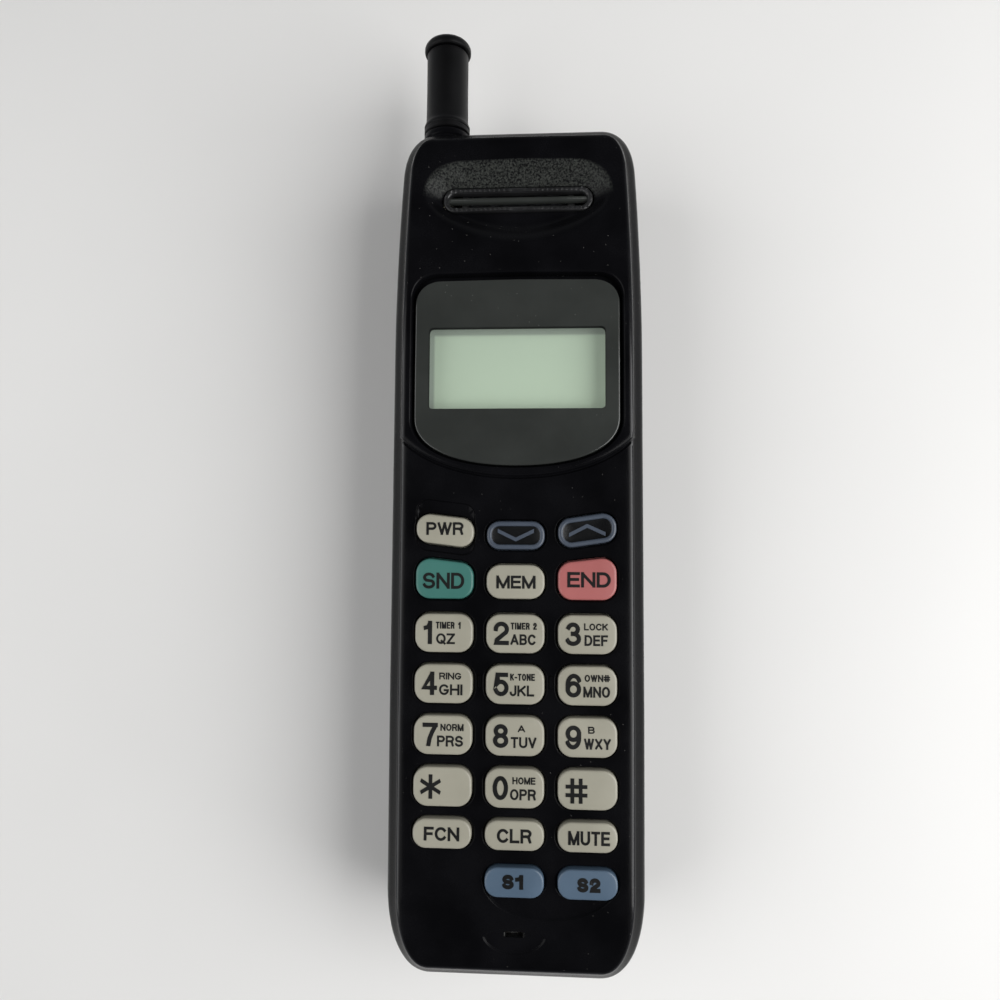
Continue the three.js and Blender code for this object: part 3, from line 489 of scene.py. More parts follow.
def lensOutline(side=0.0, above=0.0, below=0.0):
    w, top, low = 22.8 + side, 57.8 + above, 15.9 - below
    half = [(0, low)] + bezier((0, low), (0.55 * w, low), (w, 19.1 - below), (w, 26.5), 26)
    half += [(w, 38), (w, 51.8 + above)]
    half += bezier((w, 51.8 + above), (w, 55.4 + above), (w - 2.4, 57.6 + above), (w - 6, 57.6 + above), 12)
    half += [(0, top)]
    return mirrored(half)


ear = {"y": 76.89, "dishHalfWidth": 21.5, "barY": 77.24}


def dishOutline(t=0.0):  # 0 at the rim, 1 at the floor
    y, w = ear["y"], ear["dishHalfWidth"]
    half = [(0, y - 11.4)] + bezier((0, y - 11.4), (0.5 * w, y - 11.4), (w, y - 5), (w, y), 18)
    half += bezier((w, y), (w, y + 5), (0.85 * w, y + 8.1), (0.6 * w, y + 8.3), 14) + [(0, y + 8.6)]
    loop = mirrored(half)
    return np.column_stack([loop[:, 0] * (1 - 0.2 * t), y + (loop[:, 1] - y) * (1 - 0.55 * t)])


keySize = {
    "width": 12.6, "pitch": 15.5, "corner": 3.1, "top": 36.3, "neck": 32.8, "flange": 31.3, "pill": 30.0,
    "digitRow": (-20.7, 10.88, 4.15), "wordRow": (-66.25, -60.05), "softRow": (-75.95, -69.75),
    "crown": 0.1, "bevel": [(0.03, 0.3), (0.1, 0.17), (0.22, 0.07), (0.4, 0.02), (0.6, 0.0)],
}
digits = "123456789*0#"
digitNames = ["key_" + {"*": "star", "#": "hash"}.get(d, d) for d in digits]
keyPlan = {  # column, low and high edge at the column's middle, lean of low and high edge, finish, slot
    "key_power": (-1, -1.6, 4.7, -0.12, -0.12, "beige", "key_beige"),
    "key_down": (0, -2.5, 3.6, 0, 0, "slate", "key_slate"),
    "key_up": (1, -1.5, 4.9, 0.15, 0.15, "slate", "key_slate"),
    "key_send": (-1, -13.3, -5.0, 0, -0.12, "green", "key_green"),
    "key_memory": (0, -13.2, -5.85, 0, 0, "beige", "key_beige"),
    "key_end": (1, -13.3, -4.7, 0, 0.12, "red", "key_red"),
}
for i, nodeName in enumerate(("key_function", "key_clear", "key_mute")):
    keyPlan[nodeName] = (i - 1, *keySize["wordRow"], 0, 0, "beige", "key_beige")
for i, nodeName in enumerate(("key_s1", "key_s2")):
    keyPlan[nodeName] = (i, *keySize["softRow"], 0, 0, "blue", "key_blue")
firstRow, rowPitch, halfHeight = keySize["digitRow"]
for i, nodeName in enumerate(digitNames):
    middleY = firstRow - rowPitch * (i // 3)
    keyPlan[nodeName] = (i % 3 - 1, middleY - halfHeight, middleY + halfHeight, 0, 0, "beige", "key_beige")


def keyOutline(plan):
    column, low, high, leanLow, leanHigh = plan[:5]
    cx, half = column * keySize["pitch"], keySize["width"] / 2
    corners = [(cx - half, low - leanLow * half), (cx + half, low + leanLow * half),
               (cx + half, high + leanHigh * half), (cx - half, high - leanHigh * half)]
    return rounded(corners, min(keySize["corner"], 0.45 * (high - low)), 8)


keyLoops = {name: keyOutline(plan) for name, plan in keyPlan.items()}

# front shell
front = {
    "round": [(0, 24.25), (0.4, 27.5), (0.65, 29.6), (0.78, 30.6), (0.95, 31.25), (1.2, 31.8), (1.5, 32.25),
              (2.0, 32.85), (2.5, 33.45), (2.9, 33.97), (3.2, 34.36), (3.5, 34.7), (3.9, 34.94), (4.5, 35.06),
              (5.1, 35.1)],
    "edgeShift": 1.3, "leanFrom": 82, "leanOver": 11, "grooveFrom": 3.7, "scoopFrom": -70.5, "scoopOver": 5,
    "plateau": [(1.6, 33.2), (1.75, 34.4), (1.9, 35.15), (2.05, 35.55), (2.3, 35.84), (2.6, 36.0), (2.95, 36.08),
                (3.3, 36.1)],
    "pocket": [(-0.4, 36.1), (-0.25, 36.06), (-0.1, 35.92), (0.02, 35.7), (0.12, 35.2), (0.3, 33.8)],
    "window": (0, 37.7, 41.3, 20.3, 1.5), "dishDepth": 2.6, "earSlot": (0, ear["y"], 34.6, 6.2, 3.0),
    "powerPocket": [(-22, -2.6), (-9, -4.2), (-9, 7.2), (-22, 8.8)], "powerDepth": 0.5,
    "micSlot": (0, -84.0, 4.5, 1.2, 0.55), "micHollow": (6.7, -84.6, 1.9, 3.5, 0.32),
    "keyRound": [(-0.5, 0), (-0.32, 0.04), (-0.16, 0.13), (0, 0.34), (0.05, 1.9)],
    "nib": (7.75, -31.1, 0.9, 3.0), "nibHeight": 0.4, "groove": 0.28, "endLean": 0.25, "scoopDepth": 0.5,
}
pocketLoop = lensOutline(0.7, 1.5, 0.45)
powerLoop = rounded(front["powerPocket"], 2.6, 9)
scoopLoop = np.array(bezier((-6.9, -71.5), (-7.0, -77.0), (-3.2, -80.5), (7.1, -80.9), 24) +
                     bezier((7.1, -80.9), (14.5, -80.9), (21.3, -78.0), (22.2, -72.6), 20) +
                     [(22.3, -71.5), (7.0, -71.0)])
micX, micY, micUp, micDown, micDeep = front["micHollow"]
micLow, micHigh = (0, micY - micDown), (0, micY + micUp)
micLoop = mirrored([micLow] +
                   bezier(micLow, (0.5 * micX, micY - micDown), (0.92 * micX, micY - 1.7), (micX, micY), 12) +
                   bezier((micX, micY), (0.85 * micX, micY + 1.3), (0.45 * micX, micY + micUp), micHigh, 12)[:-1] +
                   [micHigh])
nibLoops = [rectangle(side * front["nib"][0], *front["nib"][1:], 0.4, 4) for side in (-1, 1)]
keyHoles = {name: grown(loop, 0.3) for name, loop in keyLoops.items()}
earHole = rectangle(*front["earSlot"], 10)
micHole = rectangle(*front["micSlot"], 6)
windowHole = rectangle(*front["window"], 5)
step = lambda table, at: np.interp(at, *zip(*table))


def dishShare(points):  # 0 outside the rim, 1 on the floor
    middle = np.array((0, ear["y"]))
    loops = []
    for t in (0, 1):
        loop = dishOutline(t) - middle
        angle = np.arctan2(loop[:, 1], loop[:, 0])
        order = np.argsort(angle)
        loops.append((angle[order], np.hypot(loop[:, 0], loop[:, 1])[order]))
    p = points - middle
    angle, radius = np.arctan2(p[:, 1], p[:, 0]), np.hypot(p[:, 0], p[:, 1])
    rim, floor = (np.interp(angle, a, r, period=2 * math.pi) for a, r in loops)
    return np.clip((rim - radius) / (rim - floor), 0, 1)


def frontTop(p):
    inset = depthInside(outline, p)
    atEnd = smoothStep((p[:, 1] - front["leanFrom"]) / front["leanOver"])
    inset = inset * (1 - front["endLean"] * atEnd)  # the top end leans and rounds more
    arcInset = np.minimum(depthInside(aboveArc, p), inset - front["edgeShift"])
    z = step(front["round"], inset)
    z -= front["groove"] * np.clip(1 - np.abs(arcInset - 1.6) / 0.22, 0, 1) * (inset > front["grooveFrom"])
    z = np.maximum(z, np.where(arcInset > 1.6, step(front["plateau"], arcInset), 0))
    z -= front["dishDepth"] * smoothStep(dishShare(p))
    z = np.minimum(z, step(front["pocket"], depthInside(pocketLoop, p)))
    z -= front["powerDepth"] * smoothStep((depthInside(powerLoop, p) + 0.1) / 0.35)
    fade = np.clip((front["scoopFrom"] - p[:, 1]) / front["scoopOver"], 0, 1)
    z -= front["scoopDepth"] * fade * smoothStep((depthInside(scoopLoop, p) + 0.1) / 0.5)
    z -= micDeep * smoothStep((depthInside(micLoop, p) + 0.08) / 0.4)
    for nib in nibLoops:
        z += front["nibHeight"] * smoothStep((depthInside(nib, p) + 0.02) / 0.26)
    for hole in keyHoles.values():
        z -= step(front["keyRound"], depthInside(hole, p))
    return z


def frontBottom(p):
    inset = depthInside(outline, p)
    ceiling = np.interp(p[:, 1], shell["ceilingStep"], [shell["keyCeiling"], shell["headCeiling"]])
    return np.where(inset <= shell["wall"] + 0.001, shell["parting"], ceiling)


def frontMarks(p):  # where the rounded edge is rubbed and carries a painted sheen, and the ear hollow's upper slope, with coarser grain and a painted lighter tone for its lit side
    inset = depthInside(outline, p)
    share = dishShare(p)
    return {"edge": np.clip(1 - np.abs(inset - 3.55) / 0.5, 0, 1),
            "coarse": np.clip(share / 0.12, 0, 1) * np.clip((p[:, 1] - 77.1) / 2.5, 0, 1)}


loops = [grown(outline, -d) for d in (0.4, 0.65, 0.78, 0.95, 1.2, 1.5, 2.0, 2.5, 2.9, 3.05, 3.2, 3.351,
                                        3.41, 3.6, 3.9, 4.2, 4.5, 5.1, 5.7, 6.4, 7.2)]
loops += [dishOutline(t) for t in np.linspace(0.0, 1.0, 11)]
loops += [grown(pocketLoop, -d) for d, _ in front["pocket"]]
loops += [grown(powerLoop, -d) for d in (-0.1, -0.02, 0.08, 0.18, 0.25)]
loops += [grown(scoopLoop, -d) for d in (-0.1, 0.05, 0.2, 0.4)]
loops += [grown(micLoop, -d) for d in (-0.08, 0.02, 0.12, 0.22, 0.32)]
loops += [grown(nib, -d) for nib in nibLoops for d in (-0.02, 0.05, 0.14, 0.24)]
loops += [grown(hole, -d) for hole in keyHoles.values() for d, _ in front["keyRound"][:-1]]
frontHoles = [grown(hole, -0.05) for hole in keyHoles.values()] + [earHole, micHole, windowHole]
alongX, alongY = np.gradient(arc[:, 0]), np.gradient(arc[:, 1])
arcNormal = np.column_stack([-alongY, alongX]) / np.hypot(alongX, alongY)[:, None]
arcLines = [arc + arcNormal * d for d in (1.36, 1.5, 1.6, 1.7, 1.75, 1.82, 1.9, 2.05, 2.3, 2.6, 2.95, 3.3)]
arcLines = [line[np.abs(line[:, 0]) < shell["halfWidth"] + 0.6] for line in arcLines]
frontCase = moulded("front_case", outline, loops, frontHoles, frontTop, frontBottom, ["black"], None, frontMarks,
                    arcLines)


def cutEnds(piece):  # the aerial's hole and the socket's, through the two end walls
    x, low, high = shell["socketHole"]
    cutWith(piece, circleLoop(*shell["aerialAxis"], shell["aerialHole"], 48), "Y", *shell["aerialCut"])
    cutWith(piece, [(-x, low), (x, low), (x, high), (-x, high)], "Y", *shell["socketCut"])


cutEnds(frontCase)
print("front shell made:", len(frontCase.data.polygons), "faces")
evenNormals(frontCase)
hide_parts("front_shell")
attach(frontCase, "handset")

# keys with their printing
printed = {  # text, middle from the key's middle, foot, height, width, half of a stroke
    "key_power": [("PWR", 0, -1.0, 2.8, 8.15, 0.24)], "key_send": [("SND", -0.2, -2.0, 3.5, 9.1, 0.29)],
    "key_memory": [("MEM", 0.1, -1.45, 2.8, 8.5, 0.25)], "key_end": [("END", 0.35, -1.6, 3.3, 9.3, 0.29)],
    "key_function": [("FCN", 0, -1.4, 2.87, 7.6, 0.26)], "key_clear": [("CLR", 0, -1.45, 2.9, 7.35, 0.26)],
    "key_mute": [("MUTE", 0.27, -1.5, 2.9, 8.75, 0.25)], "key_s1": [("S1", -0.3, -1.25, 3.0, 4.5, 0.38)],
    "key_s2": [("S2", 0.2, -1.4, 2.95, 4.9, 0.38)], "key_star": [("*", -2.5, -2.5, 5.1, 4.5, 0.36)],
    "key_hash": [("#", -2.35, -2.75, 5.2, 4.6, 0.36)],
}
legends = {  # upper word, its middle and width, then the lower one's
    "1": ("TIMER 1", 0.96, 5.4, "QZ", 0.4, 4.1), "2": ("TIMER 2", 1.84, 5.6, "ABC", 1.7, 5.5),
    "3": ("LOCK", 1.82, 5.1, "DEF", 1.87, 5.0), "4": ("RING", 1.52, 4.8, "GHI", 1.66, 5.1),
    "5": ("K-TONE", 1.6, 5.3, "JKL", 1.5, 5.25), "6": ("OWN#", 2.08, 5.4, "MNO", 1.94, 5.67),
    "7": ("NORM", 2.0, 5.0, "PRS", 1.6, 5.6), "8": ("A", 1.44, 1.6, "TUV", 1.9, 5.5),
    "9": ("B", 0.82, 1.4, "WXY", 2.1, 5.7), "0": ("HOME", 2.0, 4.9, "OPR", 1.8, 5.5),
}
digitPlace = {"1": (-3.5, 1.9), "4": (-3.06, 3.45), "7": (-2.7, 3.3)}
for digit, (upper, upperX, upperWidth, lower, lowerX, lowerWidth) in legends.items():
    digitX, digitWidth = digitPlace.get(digit, (-3.0, 3.3))
    printed["key_" + digit] = [(digit, digitX, -2.4, 5.0, digitWidth, 0.41),
                               (upper, upperX, 0.95, 1.47, upperWidth, 0.135),
                               (lower, lowerX, -2.35, 2.3, lowerWidth, 0.2)]


def bow(cx, cy, rx, ry, first, last, steps=14):
    angles = np.radians(np.linspace(first, last, steps + 1))
    return [(cx + rx * math.cos(a), cy + ry * math.sin(a)) for a in angles]


ringOf = lambda cx, cy, rx, ry: bow(cx, cy, rx, ry, 0, 360, 28)  # a closed stroke ends where it starts
bowl = [(0, 0), (0, 1), (0.58, 1)] + bow(0.58, 0.74, 0.42, 0.26, 90, -90) + [(0, 0.48)]
strokes = {  # width for a height of 1, then centre lines in a unit square
    "0": (0.62, [ringOf(0.5, 0.5, 0.5, 0.5)]), "1": (0.36, [[(1, 0), (1, 1)], [(0, 0.75), (0.6, 0.79), (1, 1)]]),
    "2": (0.62, [bow(0.5, 0.71, 0.5, 0.29, 178, -32) + [(0.1, 0.16), (0, 0), (1, 0)]]),
    "3": (0.62, [bow(0.47, 0.76, 0.43, 0.24, 160, -90), bow(0.47, 0.26, 0.53, 0.26, 90, -162)]),
    "4": (0.64, [[(0.76, 0), (0.76, 1)], [(0.7, 0.94), (0, 0.27), (1, 0.27)]]),
    "5": (0.62, [[(0.94, 1), (0.2, 1)] + bow(0.5, 0.32, 0.5, 0.32, 140, -158)]),
    "6": (0.62, [ringOf(0.5, 0.31, 0.5, 0.31), bow(0.54, 0.56, 0.54, 0.44, 28, 180) + [(0, 0.31)]]),
    "7": (0.6, [[(0, 1), (1, 1)], [(1, 1), (0.66, 0.62), (0.45, 0.3), (0.36, 0)]]),
    "8": (0.62, [ringOf(0.5, 0.76, 0.44, 0.24), ringOf(0.5, 0.26, 0.5, 0.26)]),
    "9": (0.62, [ringOf(0.5, 0.69, 0.5, 0.31), bow(0.46, 0.44, 0.54, 0.44, 208, 360) + [(1, 0.69)]]),
    "A": (0.78, [[(0, 0), (0.5, 1)], [(0.5, 1), (1, 0)], [(0.18, 0.3), (0.82, 0.3)]]),
    "B": (0.66, [[(0.6, 0.52), (0, 0.52), (0, 1), (0.6, 1)] + bow(0.6, 0.76, 0.34, 0.24, 90, -90),
                 [(0, 0.54), (0, 0), (0.6, 0)] + bow(0.6, 0.26, 0.4, 0.26, -90, 90)]),
    "C": (0.74, [bow(0.52, 0.5, 0.52, 0.5, 40, 320, 22)]), "D": (0.7, [[(0.4, 0), (0, 0), (0, 1), (0.45, 1)] +
                 bow(0.45, 0.5, 0.55, 0.5, 90, -90) + [(0.4, 0)]]),
    "E": (0.6, [[(1, 1), (0, 1), (0, 0), (1, 0)], [(0, 0.52), (0.92, 0.52)]]),
    "F": (0.58, [[(1, 1), (0, 1), (0, 0)], [(0, 0.5), (0.86, 0.5)]]),
    "G": (0.76, [bow(0.5, 0.5, 0.5, 0.5, 42, 335, 22) + [(1, 0.44), (0.58, 0.44)]]),
    "H": (0.7, [[(0, 0), (0, 1)], [(1, 0), (1, 1)], [(0, 0.52), (1, 0.52)]]), "I": (0.02, [[(0.5, 0), (0.5, 1)]]),
    "J": (0.5, [[(1, 1)] + bow(0.5, 0.3, 0.5, 0.3, 0, -176)]),
    "K": (0.7, [[(0, 0), (0, 1)], [(1, 1), (0.04, 0.36)], [(0.36, 0.6), (1, 0)]]),
    "L": (0.56, [[(0, 1), (0, 0), (1, 0)]]),
    "M": (0.86, [[(0, 0), (0, 1)], [(0, 1), (0.5, 0)], [(0.5, 0), (1, 1)], [(1, 1), (1, 0)]]),
    "N": (0.72, [[(0, 0), (0, 1)], [(0, 1), (1, 0)], [(1, 0), (1, 1)]]), "O": (0.76, [ringOf(0.5, 0.5, 0.5, 0.5)]),
    "P": (0.64, [bowl]), "Q": (0.76, [ringOf(0.5, 0.5, 0.5, 0.5), [(0.6, 0.24), (1, -0.06)]]),
    "R": (0.68, [bowl, [(0.56, 0.48), (0.84, 0.4), (0.9, 0.16), (0.98, 0)]]),
    "S": (0.66, [bow(0.5, 0.74, 0.46, 0.26, 18, 235) + bow(0.5, 0.26, 0.5, 0.26, 55, -162)]),
    "T": (0.62, [[(0, 1), (1, 1)], [(0.5, 1), (0.5, 0)]]),
    "U": (0.7, [[(0, 1)] + bow(0.5, 0.33, 0.5, 0.33, 180, 360) + [(1, 1)]]),
    "V": (0.7, [[(0, 1), (0.5, 0)], [(0.5, 0), (1, 1)]]),
    "W": (1.0, [[(0, 1), (0.27, 0)], [(0.27, 0), (0.5, 1)], [(0.5, 1), (0.73, 0)], [(0.73, 0), (1, 1)]]),
    "X": (0.7, [[(0, 0), (1, 1)], [(0, 1), (1, 0)]]),
    "Y": (0.7, [[(0, 1), (0.5, 0.45)], [(1, 1), (0.5, 0.45)], [(0.5, 0.5), (0.5, 0)]]),
    "Z": (0.64, [[(0, 1), (1, 1)], [(1, 1), (0, 0)], [(0, 0), (1, 0)]]),
    "*": (0.9, [[(0.5, 0), (0.5, 1)], [(0, 0.76), (1, 0.24)], [(0, 0.24), (1, 0.76)]]),
    "#": (0.9, [[(0.27, 0), (0.27, 1)], [(0.73, 0), (0.73, 1)], [(0, 0.7), (1, 0.7)], [(0, 0.3), (1, 0.3)]]),
    "-": (0.34, [[(0, 0.42), (1, 0.42)]]), " ": (0.3, []),
}


def ribbon(path, half):  # a centre line widened: a loop and the line there and back, or an outer and an inner loop
    path = np.array([p for i, p in enumerate(path) if i == 0 or math.dist(p, path[i - 1]) > 1e-4])
    if np.linalg.norm(path[0] - path[-1]) < 1e-6 and len(path) > 12:
        pair = [grown(path[:-1], half), grown(path[:-1], -half)]
        return sorted(pair, key=lambda loop: -np.ptp(loop, axis=0).sum()), None
    there = np.vstack([path, path[::-1]])
    first, last = path[0] - path[1], path[-1] - path[-2]
    path = np.vstack([[path[0] + first * half / np.linalg.norm(first)], path,
                      [path[-1] + last * half / np.linalg.norm(last)]])
    ahead = np.diff(path, axis=0)
    ahead /= np.linalg.norm(ahead, axis=1)[:, None]
    before, after = np.vstack([ahead[:1], ahead]), np.vstack([ahead, ahead[-1:]])
    normal = np.column_stack([-(before + after)[:, 1], (before + after)[:, 0]])
    normal *= (2 * half / np.maximum((normal ** 2).sum(1), 1.1))[:, None]
    return [np.vstack([path + normal, (path - normal)[::-1]])], there


def lettering(text, cx, foot, height, width, half, z, thickness=0.16):  # closed thin letters, sunk a little in the key
    half *= 1.12
    gap = 0.07 * height + 0.02
    stretch = (width - 2 * half * len(text) - gap * (len(text) - 1)) / max(sum(strokes[c][0] for c in text), 0.01)
    vertices, made, at = [], [], cx - width / 2
    for letter in text:
        wide = max(strokes[letter][0] * stretch, 0.01)
        ribbons = [ribbon([(at + half + x * wide, foot + half + y * (height - 2 * half)) for x, y in path], half)
                   for path in strokes[letter][1]]
        left, at = at, at + wide + 2 * half + gap
        if not ribbons:
            continue
        flat, faces, middle = triangulated([loop for pair, _ in ribbons for loop in pair])
        keep = np.zeros(len(faces), bool)
        for pair, there in ribbons:
            inside = depthInside(pair[0], middle) > 0
            if there is None:
                inside &= depthInside(pair[1], middle) < 0
            else:
                inside |= -depthInside(there, middle) < half
            keep |= inside
        if letter != "Q":
            flat = np.clip(flat, (left, foot), (left + wide + 2 * half, foot + height))
        faces = [tuple(f) for f in faces[keep].tolist()]
        faces = [f if cross(flat, f) > 0 else f[::-1] for f in faces if abs(cross(flat, f)) > 1e-7]
        used = sorted({v for f in faces for v in f})
        number = {v: len(vertices) + i for i, v in enumerate(used)}
        low = len(used)
        vertices += [(*flat[v], z) for v in used] + [(*flat[v], z - thickness) for v in used]
        faces = [tuple(number[v] for v in f) for f in faces]
        sides = {(f[i], f[(i + 1) % 3]) for f in faces for i in range(3)}
        made += faces + [tuple(v + low for v in f[::-1]) for f in faces]
        made += [(q, p, p + low, q + low) for p, q in sorted(sides) if (q, p) not in sides]
    return vertices, made


def cross(flat, face):  # more than 0 for a face that turns to the left
    corners = [flat[v] for v in face]
    return sum(p[0] * q[1] - q[0] * p[1] for p, q in zip(corners, corners[1:] + corners[:1]))


def lofted(rings):  # rings of (loop, z) from the lowest up, closed at both ends
    count = len(rings[0][0])
    vertices = [(x, y, z) for loop, z in rings for x, y in loop]
    faces = [(i * count + k, i * count + (k + 1) % count, (i + 1) * count + (k + 1) % count, (i + 1) * count + k)
             for i in range(len(rings) - 1) for k in range(count)]
    for ring, last in ((0, False), (len(rings) - 1, True)):
        loop, z = rings[ring]
        centre = len(vertices)
        vertices.append((*loop.mean(0), z))
        for k in range(count):
            pair = (ring * count + k, ring * count + (k + 1) % count)
            faces.append((centre, *pair) if last else (centre, *pair[::-1]))
    return vertices, faces


def shrunk(loop, share):
    return loop.mean(0) + (loop - loop.mean(0)) * share


def keyPiece(name, plan):
    loop, top, crown = keyLoops[name], keySize["top"], keySize["crown"]
    body = [(grown(loop, -2.2), keySize["pill"]), (grown(loop, -2.1), keySize["flange"]), (grown(loop, 0.7),
            keySize["flange"]), (grown(loop, 0.7), keySize["neck"]), (loop, keySize["neck"]), (loop, top - 0.55)]
    body += [(grown(loop, -d), top - crown - drop) for d, drop in keySize["bevel"]]
    if plan[5] == "slate":  # an arrow key: raised rim round a sunk middle
        inner = grown(loop, -1.05)
        body += [(grown(loop, -0.85), top - crown - 0.03), (grown(loop, -0.98), top - crown - 0.12),
                 (inner, top - crown - 0.34), (grown(loop, -1.2), top - crown - 0.4),
                 (shrunk(grown(loop, -1.2), 0.5), top - crown - 0.4)]
        sunk = len(body) - 3
    else:
        body += [(shrunk(grown(loop, -0.6), s), top - crown * s * s) for s in (0.75, 0.5, 0.25)]
        sunk = None
    vertices, faces = lofted(body)
    kinds = [0] * len(faces)
    count = len(loop)
    if sunk:
        for i in range(len(faces)):
            if sunk * count <= i < (len(body) - 1) * count or i >= len(faces) - count:
                kinds[i] = 1
    cx, cy = plan[0] * keySize["pitch"], (plan[1] + plan[2]) / 2
    if sunk:
        sign = -1 if name == "key_down" else 1
        rise, half, thick = 0.95, 3.95, 0.42
        lift = top - crown - 0.4
        lean = plan[3] * 0.2
        path = [(-half, -rise), (0, rise), (half, -rise)]
        outer = [(x, sign * y + thick + lean * x) for x, y in path]
        lower = [(x, sign * y - thick + lean * x) for x, y in path]
        flat = [(cx + x, cy + 0.05 + y) for x, y in outer + lower[::-1]]
        first = len(vertices)
        vertices += [(x, y, lift + 0.14) for x, y in flat] + [(x, y, lift - 0.05) for x, y in flat]
        quads = [(0, 5, 4, 1), (1, 4, 3, 2)]
        sides = [(0, 1), (1, 2), (2, 3), (3, 4), (4, 5), (5, 0)]
        made = quads + [tuple(v + 6 for v in q[::-1]) for q in quads] + [(q, p, p + 6, q + 6) for q, p in sides]
        faces += [tuple(v + first for v in f) for f in made]
        kinds += [0] * len(made)
    for text, dx, foot, height, width, half in printed.get(name, []):
        more, made = lettering(text, cx + dx, cy + foot, height, width, half, top + 0.015)
        first = len(vertices)
        vertices += more
        faces += [tuple(v + first for v in f) for f in made]
        kinds += [2] * len(made)
    piece = newPiece(name + "_cap", vertices, faces, [plan[5], "sunk", "ink"], kinds, smooth=40)
    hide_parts(name)
    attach(piece, name)
    return piece


for name, plan in keyPlan.items():
    keyPiece(name, plan)
print("keys made:", len(keyPlan))

# window plate and earpiece rim
window = {"top": 35.7, "bottom": 34.1, "clear": (0, 37.7, 39.3, 18.3, 1.0)}
lensLoop = lensOutline()
clearLoop = rectangle(*window["clear"], 5)


def plateTop(p):
    return window["top"] - step([(0, 0.35), (0.08, 0.16), (0.2, 0.05), (0.4, 0)], depthInside(lensLoop, p))


clearKind = lambda middle: np.where(depthInside(clearLoop, middle) > 0, 1, 0)
plate = moulded("window_plate", lensLoop, [grown(lensLoop, -d) for d in (0.08, 0.2, 0.4)] + [clearLoop], [], plateTop,
                lambda p: np.full(len(p), window["bottom"]), ["mask", "clear"], clearKind)
lowerClear = [f.index for f in plate.data.polygons if f.normal.z < -0.5]
centres = np.array([plate.data.polygons[i].center[:2] for i in lowerClear]) / mm
for index, kind in zip(lowerClear, clearKind(centres)):
    plate.data.polygons[index].material_index = int(kind)
evenNormals(plate)
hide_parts("display_lens")
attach(plate, "handset")

grilleLow, grilleHigh = (np.array(v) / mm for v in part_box("earpiece_grille"))
rim = {"outer": (0, ear["y"], 34, 5.6, 2.75), "inner": (0, ear["y"], 31.6, 3.2, 1.55), "top": float(grilleHigh[2]),
       "low": float(grilleLow[2])}
rimLoop, slotLoop = rectangle(*rim["outer"], 12), rectangle(*rim["inner"], 12)


def rimTop(p):
    z = rim["top"] - step([(0, 0.3), (0.12, 0.1), (0.3, 0)], depthInside(rimLoop, p))
    z -= np.interp(-depthInside(slotLoop, p), [0, 0.12, 0.3], [0.3, 0.1, 0])
    notch = np.clip(1 - np.abs(p[:, 0]) / 2.2, 0, 1)
    teeth = 0.16 * np.clip(np.sin(p[:, 0] * 2 * math.pi / 1.1), 0, 1) * (np.abs(p[:, 0]) > 3)
    return z - 0.25 * smoothStep(notch * 2) - teeth * (depthInside(rimLoop, p) > 0.3)


rimFill = [grown(rimLoop, -d) for d in (0.12, 0.3, 0.6, 0.9)] + [grown(slotLoop, d) for d in (0.12, 0.3)]
ribLines = [np.array([(x, y * side) for y in (1.9, 2.5)]) + (0, ear["y"]) for side in (-1, 1)
            for x in np.arange(-14.3, 14.4, 0.275)]
earRim = moulded("earpiece_rim", rimLoop, rimFill, [slotLoop], rimTop, lambda p: np.full(len(p), rim["low"]),
                 ["grille"], lines=ribLines)
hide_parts("earpiece_grille")
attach(earRim, "handset")
barRings = [(33.2, 1.5, 0.3, 0.0), (33.2, 1.3, 0.3, 0.6), (33.0, 0.9, 0.25, 1.0), (32.8, 0.4, 0.15, 1.15)]
bar = lofted([(rectangle(0, ear["barY"], *size), rim["low"] + rise) for *size, rise in barRings])
earBar = newPiece("earpiece_bar", *bar, ["mask"], smooth=50)
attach(earBar, "handset")
print("window and earpiece made")

# aerial
aerial = {"collar": [(84, 0), (84, 5.6), (94.9, 5.6), (95.25, 5.5), (95.4, 5.25), (95.55, 5.2), (95.7, 5.35),
                     (95.9, 5.5), (96.9, 5.5), (97.1, 5.4), (97.2, 5.2), (97.2, 0)],
          "sheath": [(97.5, 0), (97.5, 5.25), (97.7, 5.5), (98.55, 5.5), (98.7, 5.36), (98.9, 5.36), (99.05, 5.5),
                     (99.5, 5.5), (99.9, 5.3), (100.3, 5.15), (101, 5.05), (108, 5.0), (116.9, 5.02), (117.5, 5.0),
                     (117.7, 4.85), (117.7, 0)],
          "cap": [(118.0, 0), (118.0, 5.3), (118.2, 5.55), (118.6, 5.65), (119.3, 5.62), (119.7, 5.45), (120.1, 5.15),
                  (120.45, 4.6), (120.7, 3.8), (120.88, 2.7), (120.97, 1.4), (121.0, 0)]}
for name, node, body, finish, slotName in (("aerial_collar", "antenna_bushing", "handset", "black", "black_plastic"),
                                           ("aerial_sheath", "antenna_sheath", "antenna", "rubber", "antenna_rubber"),
                                           ("aerial_cap", "antenna_cap", "antenna", "rubber", "antenna_rubber")):
    piece = turnedPiece(name, aerial[name.split("_")[1]], shell["aerialAxis"], finish)
    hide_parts(node)
    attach(piece, body)
print("aerial made")

# back shell: a shallow tray that deepens into the head block
back = {
    "head": [(0, 23.95), (0.4, 18.4), (0.9, 10.5), (1.4, 4.2), (1.75, 2.5), (2.2, 1.35), (2.8, 0.6), (3.5, 0.18),
             (4.2, 0)],
    "headInside": [(2.0, 23.95), (2.06, 22.0), (2.5, 18.4), (3.6, 4.2), (4.4, 2.2)],
    "tray": [(0, 23.95), (0.25, 19.8), (0.4, 18.5), (0.6, 18.1), (0.95, 17.9)], "inside": 19.5,
    "headStart": 28.8, "wall": 2.0, "button": (0, 39.4, 15.8, 8.6, 2.3), "screw": (20.5, -83.0, 2.6),
    "terminals": (13.6, 9.7, 14.3), "tongue": (8.8, 1.9, 6.3), "slotCut": (27, 33),
}


